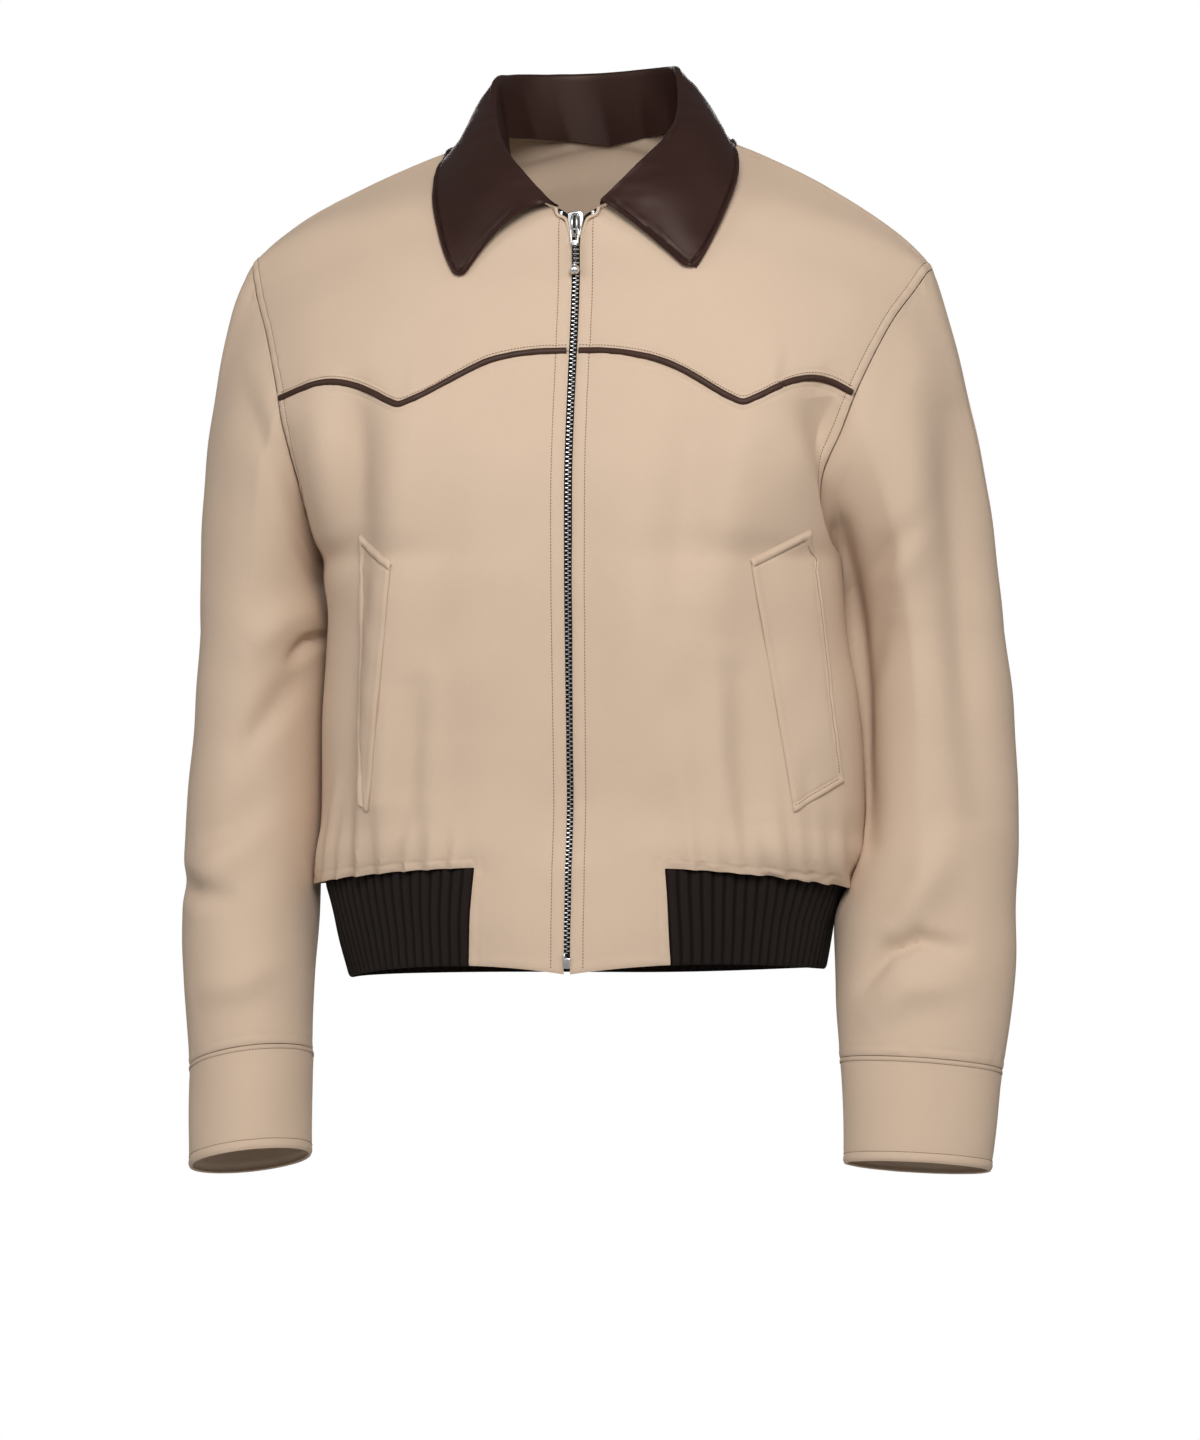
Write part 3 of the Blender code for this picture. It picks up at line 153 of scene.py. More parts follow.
# Cross-rows of one front. Each is a cubic curve from the centre line (or the neckline) x0 y0 z0, by
# the handle x1 y1 z1, and by p3 plus rx ry rz, to the side point p3.
#        level    x0    y0    z0    x1    y1    z1    rx    ry   rz
FRONT = [(-600,   0, -138, -592,   95, -141, -577,    0,  -72,   4),
         (-575,   0, -137, -567,   99, -141, -553,    2,  -76,   4),
         (-545,   0, -133, -536,  103, -140, -527,    3,  -80,   4),
         (-530,   0, -131, -517,  104, -139, -512,    3,  -82,   4),
         (-515,   0, -127, -503,  108, -143, -500,    4,  -84,   2),
         (-490,   0, -123, -480,  110, -141, -480,    4,  -85,   0),
         (-430,   0, -125, -430,  112, -141, -430,    2,  -87,   0),
         (-360,   0, -130, -360,  113, -146, -360,    2,  -89,   0),
         (-303,   0, -133, -303,  112, -149, -303,    2,  -90,   0),
         (-295,   0, -133, -295,  110, -149, -295,    0,  -89,   0),
         (-270,   0, -133, -270,  102, -149, -269,  -12,  -72,   2),
         (-235,   0, -131, -235,   98, -147, -233,  -26,  -50,   3),
         (-195,   0, -123, -197,  102, -142, -196,  -38,  -34,   6),
         (-150,   0, -110, -150,   98, -128, -153,  -48,  -36,  12),
         (-95,    0,  -97,  -97,   86, -108, -102,  -56,  -40,  22),
         (-42,    0,  -91,  -44,   70,  -94,  -54,  -58,  -34,  30),
         (-10,   48,  -64,  -22,  104,  -58,  -24,  -31,  -12,  32),
         (24,    70,    8,   26,  132,    8,   10,  -19,    2,  33)]

# Side points: down the side seam, then round each armhole. r is the wearer's right (-X), l the left.
#        level   x r   y r   z r   x l   y l   z l
SEAM_SIDE = [(-600, -184,   -4, -602, 171,   -4, -593),
             (-575, -190,   -4, -577, 174,   -4, -568),
             (-545, -197,   -4, -547, 184,   -4, -543),
             (-530, -201,   -4, -532, 190,   -4, -531),
             (-515, -204,   -4, -514, 200,   -4, -514),
             (-490, -203,   -4, -490, 199,   -4, -490),
             (-430, -203,   -4, -430, 195,   -4, -430),
             (-360, -199,   -4, -360, 179,   -4, -360),
             (-330, -196,   -4, -330, 175,   -4, -331),
             (-303, -200,   -4, -303, 174,   -4, -305),
             (-295, -200,   -4, -295, 174,   -4, -297)]
SIDE = SEAM_SIDE + [(-270, -205,  -36, -276, 172,  -42, -276),
                    (-235, -210,  -70, -236, 175,  -74, -239),
                    (-195, -218,  -84, -197, 190,  -81, -203),
                    (-150, -224,  -78, -170, 203,  -79, -170),
                    (-95,  -238,  -50, -127, 223,  -50, -124),
                    (-42,  -252,  -22,  -94, 238,  -23,  -98),
                    (-10,  -258,   -9,  -73, 246,   -9,  -84),
                    (24,   -259,    5,  -69, 249,    5,  -80)]

# The yoke seam as seen from the front, (distance from the centre line, height on the wearer's right,
# height on the left); the edge of the plain cloth beside the rib, (height, distance from the centre);
# and the fronts' edge beside the zip, in the same way.
YOKE_SEAM = [(0, -146, -146), (27, -147, -147), (45, -149.5, -149.5), (62, -154, -153.5),
             (77, -161.5, -159.5), (90, -169, -166.5), (103, -177, -174.5), (115, -183, -182),
             (123, -185.5, -185.5), (131, -182.5, -182.5), (145, -175, -175), (160, -168.5, -168.5),
             (174, -166, -166.5), (187, -167, -169.5), (199, -170, -177), (224, -177, -189)]
RIB_EDGE = [(-600, 73), (-530, 69)]
ZIP_EDGE = [(-600, 2.3), (-420, 2.35), (-240, 2.9), (-66, 2.9), (-58, 4.4), (-52, 6.5), (-47, 10.5), (-42, 15)]

# Folds as seen from the front or the back: a soft ridge (height over 0) or trough along a line of
# (x, z) points. Each side of the line has its own width.
#          face   height  width_in width_out  points
FOLDS = [("front", 13,    30,  16, [(149, -186), (160, -220), (168, -255), (176, -330), (184, -420), (188, -500)]),
         ("front", -11,   16,  20, [(180, -180), (184, -212), (188, -244)]),
         ("front",  7,    20,  22, [(122, -190), (112, -260), (100, -350)]),
         ("front", -6,    20,  22, [(96, -190), (86, -260), (80, -330)]),
         ("front", 15,    28,  22, [(-118, -192), (-121, -240), (-124, -295), (-133, -367),
                                    (-142, -450), (-148, -520)]),
         ("front", -4,    10,  16, [(-148, -300), (-158, -380), (-164, -490)]),
         ("front",  4,    10,  12, [(-96, -380), (-102, -460), (-108, -528)]),
         ("front",  4,    11,  11, [(-126, -400), (-132, -460), (-137, -528)]),
         ("front", -4,    10,  10, [(-112, -390), (-118, -460), (-122, -524)]),
         ("front",  4,    10,  11, [(104, -370), (108, -450), (112, -528)]),
         ("front", -4,    10,  10, [(120, -380), (124, -460), (127, -526)]),
         ("front",  5,     9,  10, [(136, -484), (142, -510), (150, -528)]),
         ("front",  3,    14,  14, [(78, -420), (84, -470), (88, -524)]),
         ("front", -9,    15,  16, [(-161, -170), (-158, -215), (-158, -270)]),
         ("front",  6,    18,  20, [(-188, -180), (-184, -230), (-180, -300)]),
         ("front",  5,    26,  28, [(-60, -230), (-70, -320), (-76, -420)]),
         ("front",  5,    28,  30, [(48, -250), (54, -350), (60, -440)]),
         ("back",   4,    40,  40, [(-60, -240), (-50, -380), (-46, -480)]),
         ("back",   5,    36,  36, [(70, -220), (66, -350), (72, -470)]),
         ("back",  -4,    34,  34, [(8, -260), (12, -380), (10, -470)]),
         ("back",   6,    24,  26, [(150, -190), (158, -280), (162, -380)]),
         ("back",   6,    24,  26, [(-156, -200), (-160, -290), (-166, -390)])]

# Gathers above the rib: (x, height, width, length), the front's as seen and the back's. They lean to the
# middle as they rise, and their heights and lengths are taken this many times.
GATHER_LEAN, GATHER_RAISE, GATHER_REACH = 0.06, 2.8, 1.6
GATHERS = [(-196, 3.0, 5, 40), (-185, 3.4, 5, 60), (-173, 3.2, 5, 48), (-155, 3.4, 6, 62),
           (-137, 2.6, 6, 50), (-119, 2.4, 5, 44), (-101, 2.2, 6, 40), (-84, 1.6, 5, 30),
           (88, 1.8, 5, 36), (104, 2.0, 6, 40), (119, 2.6, 6, 52), (131, 2.6, 5, 46),
           (147, 3.0, 6, 60), (160, 3.2, 5, 66), (172, 3.2, 5, 54), (184, 3.0, 5, 46)]


def unit(v):
    """Each vector over its own length."""
    return v / np.maximum(np.linalg.norm(v, axis=-1, keepdims=True), 1e-9)


def hump(distance, at, width):
    """1 at this distance and less on both sides of it: exp(-(difference / width)^2)."""
    return np.exp(-((distance - at) / width) ** 2)


def ramp(distance, length):
    """An even rise from 0 at nothing to 1 at this length."""
    return np.clip(distance / length, 0, 1)


def smooth(table, t):
    """Rows of the table at t: between two rows, the cubic whose slopes at its ends are the means of the
    chords beside them, each weighted by the other's length."""
    table = np.asarray(table, float)
    xs, ys = table[:, 0], table[:, 1:]
    step = np.diff(xs)[:, None]
    chord = np.diff(ys, axis=0) / step
    slope = np.empty_like(ys)
    slope[0], slope[-1] = chord[0], chord[-1]
    slope[1:-1] = (chord[:-1] * step[1:] + chord[1:] * step[:-1]) / (step[1:] + step[:-1])
    t = np.asarray(t, float)
    i = np.clip(np.searchsorted(xs, t, side="right") - 1, 0, len(xs) - 2)
    h = step[i, 0]
    w = np.clip((t - xs[i]) / h, 0, 1)[..., None]
    h = h[..., None]
    return ((1 + 2 * w) * (1 - w) ** 2 * ys[i] + w * (1 - w) ** 2 * h * slope[i]
            + w * w * (3 - 2 * w) * ys[i + 1] - w * w * (1 - w) * h * slope[i + 1])


def bezier(p0, p1, p2, p3, u):
    """The cubic curve: each point weighted by the binomial terms of (1 - u) and u."""
    u = np.asarray(u, float)[..., None]
    w = 1 - u
    return w ** 3 * p0 + 3 * w * w * u * p1 + 3 * w * u * u * p2 + u ** 3 * p3


def side_points(sides, side, level):
    """Points down the side seam and round the armhole; side is -1 for the wearer's right, +1 for the left."""
    edge = smooth(sides, level)
    return edge[..., 0:3] if side < 0 else edge[..., 3:6]


def torso_base(rows, sides, side, u, level):
    """A point of the fronts or the back before its folds: the cubic curve of the row at this level, u
    from the centre line to the side."""
    u, level = np.broadcast_arrays(np.asarray(u, float), np.asarray(level, float))
    table = np.array(rows, float)
    mirror = np.array([side, 1, 1])
    table[:, 7:10] = side_points(sides, side, table[:, 0]) + table[:, 7:10] * mirror
    row = smooth(table, level)
    row[..., 0] = np.maximum(row[..., 0], 0)
    return bezier(row[..., 0:3] * mirror, row[..., 3:6] * mirror, row[..., 6:9],
                  side_points(sides, side, level), u)


def normals_of(form, a, b, flip):
    """Unit normals of a surface form(a, b): the cross product of the differences across each point."""
    along_a = form(a + 0.004, b) - form(a - 0.004, b)
    along_b = form(a, b + 0.6) - form(a, b - 0.6)
    return unit(np.cross(along_a, along_b) * flip)


def fold_height(points, x, z, width_in, width_out):
    """How strongly a fold along these (x, z) points acts: exp(-(distance / width)^2) across it, times a
    half sine wave from end to end."""
    points = np.asarray(points, float)
    best = np.full(np.shape(x), 1e9)
    amount = np.zeros(np.shape(x))
    lengths = np.linalg.norm(np.diff(points, axis=0), axis=1)
    total, run = lengths.sum(), 0.0
    for (ax, az), (bx, bz), length in zip(points[:-1], points[1:], lengths):
        dx, dz = (bx - ax) / length, (bz - az) / length
        held = np.clip((x - ax) * dx + (z - az) * dz, 0, length)
        off_x, off_z = x - ax - held * dx, z - az - held * dz
        distance = np.hypot(off_x, off_z)
        width = np.where(off_x * np.sign(ax + bx) > 0, width_out, width_in)
        fade = np.sin(math.pi * np.clip((run + held) / total * 0.8 + 0.1, 0, 1)) ** 0.8
        amount = np.where(distance < best, fade * hump(distance, 0, width), amount)
        best = np.minimum(best, distance)
        run += length
    return amount


def torso_relief(face, p, level):
    """Height of all the folds and gathers at the points p of the fronts or the back."""
    x, z = p[..., 0], p[..., 2]
    relief = np.zeros(x.shape)
    for where, height, width_in, width_out, points in FOLDS:
        if where == face:
            relief += height * fold_height(points, x, z, width_in, width_out)
    relief *= ramp(level - RIB_LEVEL + 6, 60) * ramp(20 - level, 50)
    above = level - RIB_LEVEL
    for at, height, width, length in GATHERS:
        at = at * (1 if face == "front" else 0.95)
        line = at - GATHER_LEAN * above * np.sign(at)
        relief += (GATHER_RAISE * height * hump(x, line, width + 0.5)
                   * np.clip(1 - above / (GATHER_REACH * length), 0, 1) ** 1.4 * (above > -1))
    return relief


EDGE_CALM = 0.08             # the share of u beside each edge over which the folds die away


def torso(face, side, u, level):
    """A point of the jacket's body: the row's curve plus the folds' height along its normal."""
    rows, sides = (FRONT, SIDE) if face == "front" else (BACK, BACK_SIDE)

    def base(a, b):
        return torso_base(rows, sides, side, a, b)

    u, level = np.asarray(u), np.asarray(level, float)
    p = base(u, level)
    n = normals_of(base, np.clip(u, 0.004, 0.996), level, side * (1 if face == "front" else -1))
    relief = torso_relief(face, p, level) * (ramp(1 - u, EDGE_CALM) * ramp(u, EDGE_CALM))
    return p + n * relief[..., None]


def torso_normal(face, side, u, level):
    """Unit normal of the folded form."""
    return normals_of(lambda a, b: torso(face, side, a, b), np.clip(u, 0.006, 0.994), level,
                      side * (1 if face == "front" else -1))


def yoke_level(side, u):
    """Level of the yoke seam at u: where the row's height meets the seam's."""
    u = np.atleast_1d(np.asarray(u, float))
    levels = np.linspace(-240, -110, 131)
    p = torso_base(FRONT, SIDE, side, u[:, None], levels[None, :])
    over = p[..., 2] - smooth(YOKE_SEAM, np.abs(p[..., 0]))[..., 0 if side < 0 else 1]
    return np.array([np.interp(0, row, levels) for row in over])


def rib_edge_u(side, level):
    """u of the seam between the plain cloth and the rib at this level."""
    us = np.linspace(0.05, 0.6, 111)
    p = torso_base(FRONT, SIDE, side, us[None, :], level[:, None])
    target = smooth(RIB_EDGE, level)[:, 0]
    return np.array([np.interp(t, np.abs(row), us) for t, row in zip(target, p[..., 0])])


def zip_u(level):
    """u of the fronts' edge beside the zip, which opens out at the top; nothing along the neckline."""
    level = np.asarray(level, float)
    x1 = smooth(FRONT, level)[..., 3]
    half = np.interp(level, *np.array(ZIP_EDGE, float).T)
    return np.where(level < CHEST_NECK, half / (3 * x1),
                    np.interp(level, (CHEST_NECK, -10, 24), (ZIP_EDGE[-1][1] / (3 * 70), 0.004, SEAM_GAP / 180)))


RIB_SHARE = 5 / 16           # the column that runs down the rib's edge, as a share of all columns


def column_u(side, w, level):
    """u of the fronts' columns, w from 0 to 1: two straight shares, meeting at the rib's edge."""
    low = np.clip(level, HEM_LEVEL, RIB_LEVEL)
    edge = np.interp(low, (HEM_LEVEL, RIB_LEVEL), rib_edge_u(side, np.array([HEM_LEVEL, RIB_LEVEL], float)))
    first = zip_u(level)
    return np.where(w < RIB_SHARE, first + (edge - first) * w / RIB_SHARE,
                    edge + (1 - edge) * (w - RIB_SHARE) / (1 - RIB_SHARE))


def eased(start, end, count, crowd=0.55):
    """Values from start to end that stand closer together at both ends: t less crowd times a sine of one
    turn over 2 pi."""
    t = np.linspace(0, 1, count)
    return start + (end - start) * (t - crowd * np.sin(2 * math.pi * t) / (2 * math.pi))


def grid_quads(rows, columns, keep=None):
    """Corner numbers of the cells of a grid of points, row after row."""
    i, j = np.meshgrid(np.arange(rows - 1), np.arange(columns - 1), indexing="ij")
    if keep is not None:
        i, j = i[keep], j[keep]
    i, j = i.reshape(-1), j.reshape(-1)
    return np.stack([i * columns + j, i * columns + j + 1, (i + 1) * columns + j + 1, (i + 1) * columns + j], 1)


def grid_normals(p, outward):
    """Unit normals of a grid, from the differences beside each point, all turned to the side on which
    they agree with the outward vectors; a last column that meets the first is joined to it."""
    along, down = np.gradient(p, axis=1), np.gradient(p, axis=0)
    if np.linalg.norm(p[:, 0] - p[:, -1], axis=-1).max() < 1e-6:
        along[:, 0] = along[:, -1] = p[:, 1] - p[:, -2]
    n = unit(np.cross(along, down))
    return n * np.sign((n * outward).sum())


SEAM_STITCH = 6.4            # from a seam to the stitches beside it


def lengths_from(p, edge):
    """Length of cloth from one edge of a grid of points ("left", "right", "top" or "foot") to each point."""
    axis, back = {"left": (1, False), "right": (1, True), "foot": (0, False), "top": (0, True)}[edge]
    step = np.linalg.norm(np.diff(p, axis=axis), axis=-1)
    step = np.flip(step, axis) if back else step
    run = np.cumsum(step, axis=axis)
    run = np.concatenate([np.zeros_like(np.take(run, [0], axis=axis)), run], axis=axis)
    return np.flip(run, axis) if back else run


def edge_lengths(p):
    """Length of cloth from the left, the right, the foot and the top of a grid."""
    return [lengths_from(p, edge) for edge in ("left", "right", "foot", "top")]


def run_along(path):
    """Length along a path at each of its points."""
    return np.concatenate([[0], np.cumsum(np.linalg.norm(np.diff(path, axis=0), axis=1))])


def points_at(at, run, values):
    """The three columns of values, which stand at these runs, read off at other lengths."""
    return np.stack([np.interp(at, run, values[:, k]) for k in range(3)], axis=-1)


def inset(p, edge, distance, run=None):
    """The line that runs this far inside an edge of a grid of points, in order along that edge."""
    run = lengths_from(p, edge) if run is None else run
    if edge in ("foot", "top"):
        p, run = p.swapaxes(0, 1), run.T
    if edge in ("right", "top"):
        p, run = p[:, ::-1], run[:, ::-1]
    return np.array([points_at(distance, r, q) for r, q in zip(run, p)])


def painted_seam_shade(*distances):
    """1 at a seam and less away from the nearest one: exp(-distance / 2). The twill is painted darker by it near its
    seams, as painted shade.
    """
    return np.exp(-np.minimum.reduce(distances) / 2)


def waves(p, seed, shortest, longest, count=10):
    """Uneven low waves about one high: plane waves in drawn directions, lengths and phases, added up
    over the square root of half their number."""
    draw = np.random.default_rng(seed)
    way = unit(draw.normal(size=(count, 3)))
    length, phase = draw.uniform(shortest, longest, count), draw.uniform(0, 2 * math.pi, count)
    return np.sin(2 * math.pi * (p @ way.T) / length + phase).sum(axis=-1) / math.sqrt(count / 2)


def seam_relief(p, distance, seed, roll=0.25, bulge=0.3, pucker=0.2):
    """Height of the cloth beside a stitched seam at this distance from it: it rolls down into the seam
    over the last millimetre, bulges over the turned-in edge, dips at the stitches, and puckers."""
    return (-roll * hump(distance, 0, 0.8) + bulge * hump(distance, 3.2, 2.2) - 0.35 * hump(distance, SEAM_STITCH, 0.8)
            + pucker * waves(p, seed, 7, 15) * hump(distance, 4, 5))


def folded_edge(p, distance, to_stitches, pucker):
    """Height of the cloth at its folded edge beside the zip: rounded off, bulging over the turned-in
    cloth, dipping at the stitches, and puckered."""
    return (0.45 * hump(distance, 4.5, 3.2) - 0.5 * hump(distance, 0, 0.9) - 0.30 * hump(to_stitches, 0, 0.8)
            + pucker * waves(p, 8, 12, 26) * hump(distance, 9, 7))


def mesh_piece(name, points, faces, threads, seam, look, sharp):
    """An object of these points and faces. threads is the lay of the cloth at each corner; seam is a mask
    kept as an attribute, from which the materials paint light: painted shade near the twill's seams and in
    the knit's grooves, and a painted highlight along the leather's edge bead. Edges bent by more than
    sharp degrees stay sharp."""
    mesh = bpy.data.meshes.new(name)
    mesh.from_pydata((points * MM).tolist(), [], faces)
    mesh.uv_layers.new(name="thread").data.foreach_set("uv", (threads * MM).reshape(-1).astype(np.float32))
    mesh.attributes.new("seam", "FLOAT", "POINT").data.foreach_set("value", seam.astype(np.float32))
    mesh.materials.append(look)
    mesh.update()
    mesh.shade_smooth()
    mesh.set_sharp_from_angle(angle=math.radians(sharp))
    return placed(name, mesh)


def wall(name, points, normals, thick, quads, look, thread, seam, grow=0.1):
    """A closed wall of cloth: a grid of shown points, the same points moved back along their normals by
    the thickness, and round every free edge a strip over a middle row, which stands out by grow times
    the thickness. Points that coincide are made one."""
    p, n, thread = points.reshape(-1, 3), normals.reshape(-1, 3), thread.reshape(-1, 2)
    seam, thick = (np.broadcast_to(v, points.shape[:-1]).reshape(-1) for v in (seam, thick))
    corner = p[quads]
    if ((np.cross(corner[:, 1] - corner[:, 0], corner[:, 3] - corner[:, 0])) * n[quads[:, 0]]).sum() < 0:
        quads = quads[:, ::-1]
    _, first, index = np.unique(np.round(p, 3), axis=0, return_index=True, return_inverse=True)
    index = index.reshape(-1)
    total = np.zeros((len(first), 3))
    np.add.at(total, index, n)
    p, n, thick, seam = p[first], unit(total), thick[first, None], seam[first]
    count = len(p)
    joined = index[quads]
    a, b = joined.reshape(-1), np.roll(joined, -1, axis=1).reshape(-1)
    rim = ~np.isin(a * count + b, b * count + a)
    raw_a, raw_b = quads.reshape(-1)[rim], np.roll(quads, -1, axis=1).reshape(-1)[rim]
    a, b = a[rim], b[rim]
    away = np.zeros((count, 3))
    step = np.cross(p[b] - p[a], n[a])
    np.add.at(away, a, step)
    np.add.at(away, b, step)
    rims = np.unique(np.concatenate([a, b]))
    middle = np.full(count, -1)
    middle[rims] = 2 * count + np.arange(len(rims))
    between = p[rims] - n[rims] * thick[rims] / 2 + unit(away[rims]) * thick[rims] * grow
    faces = np.concatenate([joined, joined[:, ::-1] + count,
                            np.stack([b, a, middle[a], middle[b]], 1),
                            np.stack([middle[b], middle[a], a + count, b + count], 1)])
    rim_thread = np.stack([raw_b, raw_a, raw_a, raw_b], 1)
    threads = thread[np.concatenate([quads, quads[:, ::-1], rim_thread, rim_thread])]
    return mesh_piece(name, np.concatenate([p, p - n * thick, between]), faces.tolist(), threads,
                      np.concatenate([seam, seam * 0, seam[rims]]), look, 48)


def thread_map(p):
    """The lay of the threads over a grid of points: length of cloth run across each row from its middle
    column, and mean length run down the columns."""
    across, middle = lengths_from(p, "left"), p.shape[1] // 2
    down = lengths_from(p, "foot").mean(axis=1, keepdims=True)
    return np.stack(np.broadcast_arrays(across - across[:, middle:middle + 1], down), axis=-1)


def sewn_on(obj, slot, *nodes, body="jacket"):
    """Puts a finished piece on the body it rides on and hides the solids it stands for; the slot is not used."""
    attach(obj, body)
    if nodes:
        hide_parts(*nodes)


def maths(tree, operation, *values):
    """The output of a Math node; each value is a number or another node's output."""
    return node(tree, "Math", dict(enumerate(values)), operation=operation).outputs[0]


def scaled(tree, value, factor, base):
    """A value times a factor, plus a base."""
    return maths(tree, "MULTIPLY_ADD", value, factor, base)


def ripple(tree, value, pitch):
    """A sine wave over a value, one turn to each pitch."""
    return maths(tree, "SINE", maths(tree, "MULTIPLY", maths(tree, "DIVIDE", value, pitch), 2 * math.pi))


def noise(tree, vector, scale, detail):
    """Soft noise about 0.5, with as many lumps to a metre as the scale says."""
    return node(tree, "TexNoise", {"Vector": vector, "Scale": scale, "Detail": detail}).outputs["Fac"]


def stretched(tree, vector, scale):
    """A vector with each of its parts multiplied by its own scale."""
    return node(tree, "Mapping", {"Vector": vector, "Scale": scale}).outputs[0]


def new_group(name, **numbers):
    """An empty node group and what it takes: the lay of the threads, a colour and these numbers."""
    group = bpy.data.node_groups.new(name, "ShaderNodeTree")
    takes = [("Thread", "Vector", (0, 0, 0)), ("Colour", "Color", (0.5, 0.5, 0.5, 1))]
    for label, kind, value in takes + [(label, "Float", value) for label, value in numbers.items()]:
        socket = group.interface.new_socket(name=label, in_out="INPUT", socket_type="NodeSocket" + kind)
        socket.default_value = value
    return group, group.nodes.new("NodeGroupInput").outputs


def put_out(group, given, tone, height, roughness=None):
    """Closes a group: it puts out the given colour times a grey tone, the height and a roughness."""
    tinted = node(group, "Mix", {"Factor": 1, "A": given["Colour"], "B": tone}, data_type="RGBA", blend_type="MULTIPLY")
    results = {"Colour": tinted.outputs["Result"], "Height": height, "Roughness": roughness}
    results = {label: value for label, value in results.items() if value is not None}
    for label in results:
        group.interface.new_socket(name=label, in_out="OUTPUT",
                                   socket_type="NodeSocketColor" if label == "Colour" else "NodeSocketFloat")
    out = group.nodes.new("NodeGroupOutput")
    for label, value in results.items():
        group.links.new(value, out.inputs[label])
    return group


def twill_weave():
    """Twill: ridges that run at 60 degrees across the threads, a finer ripple of single yarns, thicker
    and thinner yarns as long streaks, and a slow change of tone. Near a seam the cloth is painted
    darker, as painted shade in the seam's groove."""
    group, given = new_group("twill_weave", Seam=0.0, Pitch=0.0006, Slub=0.05, Mottle=0.05)
    thread = given["Thread"]
    part = node(group, "SeparateXYZ", {0: thread}).outputs
    ridge = ripple(group, scaled(group, part["Y"], 0.58, part["X"]), given["Pitch"])
    slub = noise(group, stretched(group, thread, (2600, 160, 1)), 1.0, 2.0)
    slow, fine = noise(group, thread, 22.0, 3.0), noise(group, thread, 700.0, 2.0)
    tone = 1.0
    for value, factor in ((slub, given["Slub"]), (slow, given["Mottle"]), (fine, 0.07)):
        tone = scaled(group, maths(group, "SUBTRACT", value, 0.5), factor, tone)
    # the seam mask darkens the tone here: painted shade in the seams
    tone = scaled(group, given["Seam"], -0.10, scaled(group, ridge, 0.02, tone))
    return put_out(group, given, tone, scaled(group, fine, 0.8, scaled(group, ridge, 0.35, slub)))


def finish(name, colour, roughness, group, bump, shader=(), on_threads=True, **numbers):
    """A material: the group's colour and height on a Principled shader, whose plain numbers stand on
    its own sockets. The group is laid on the threads or, for metal, on the part's own coordinates."""
    look = bpy.data.materials.new(name)
    look.use_nodes = True
    tree = look.node_tree
    surface = tree.nodes["Principled BSDF"].inputs
    for label, value in {"Roughness": roughness, **dict(shader)}.items():
        surface[label].default_value = value
    lay = node(tree, "UVMap", uv_map="thread").outputs[0] if on_threads \
        else node(tree, "TexCoord").outputs["Object"]
    pattern = node(tree, "Group", {"Thread": lay, "Colour": (*colour, 1), **numbers}, node_tree=group)
    # the seam attribute feeds the group's mask of painted light: painted shade on twill and knit, a painted highlight
    # on leather
    if "Seam" in pattern.inputs:
        tree.links.new(node(tree, "Attribute", attribute_name="seam").outputs["Fac"], pattern.inputs["Seam"])
    lift = node(tree, "Bump", {"Strength": bump[0], "Distance": bump[1], "Height": pattern.outputs["Height"]})
    tree.links.new(pattern.outputs["Colour"], surface["Base Color"])
    tree.links.new(lift.outputs[0], surface["Normal"])
    if "Roughness" in pattern.outputs:
        tree.links.new(pattern.outputs["Roughness"], surface["Roughness"])
    return look


TAN = (0.60, 0.4545, 0.338)
twill = finish("tan_twill", TAN, 0.88, twill_weave(), (0.3, 0.0002),
               {"Sheen Weight": 0.04, "Sheen Roughness": 0.5, "Specular IOR Level": 0.2})

SIDES = ((-1, "right"), (1, "left"))
COLUMNS_IN = eased(0, RIB_SHARE, 30)
COLUMNS = np.concatenate([COLUMNS_IN, eased(RIB_SHARE, 1, 62)[1:]])
RIB_COLUMN = len(COLUMNS_IN) - 1
HEM_ROWS, FRONT_ROWS, YOKE_ROWS = 28, 160, 90
SIDE_U = 1 - SEAM_GAP / 140
FRONT_ZIP_STITCH = 9.6       # from the folded edge to the stitches beside the zip
stitch_lines = []            # (name, points, normals) of every line of stitching, sewn at the end


def raised(p, out, relief):
    """A grid of points moved out by the relief, and its normals."""
    p = p + out * relief[..., None]
    return p, grid_normals(p, out)


def sheet_piece(name, p, n, near, thick=CLOTH_WALL, look=twill, slot="tan_twill", keep=None, thread=None,
                grow=0.1, **cut):
    """Finishes a sheet from its points and normals: its wall, attached to the jacket in place of the solid it stands
    for; the cut it is given is not used.
    """
    thread = thread_map(p) if thread is None else thread
    # near is the mask of painted light: painted shade on the twill and knit, a painted highlight on the leather
    obj = wall(name, p, n, thick, grid_quads(*p.shape[:2], keep), look, thread, near, grow)
    sewn_on(obj, slot, name)


def stitched(name, p, n, edge, distance, span=(0, 1), run=None):
    """Notes a line of stitching this far inside an edge of a finished grid, over a share of its length;
    run gives the distances where they aren't measured along the cloth."""
    path = inset(p, edge, distance, run)
    normal = unit(inset(p + n, edge, distance, run) - path)
    first, last = int(span[0] * (len(path) - 1)), int(span[1] * (len(path) - 1)) + 1
    stitch_lines.append((name, path[first:last], normal[first:last]))


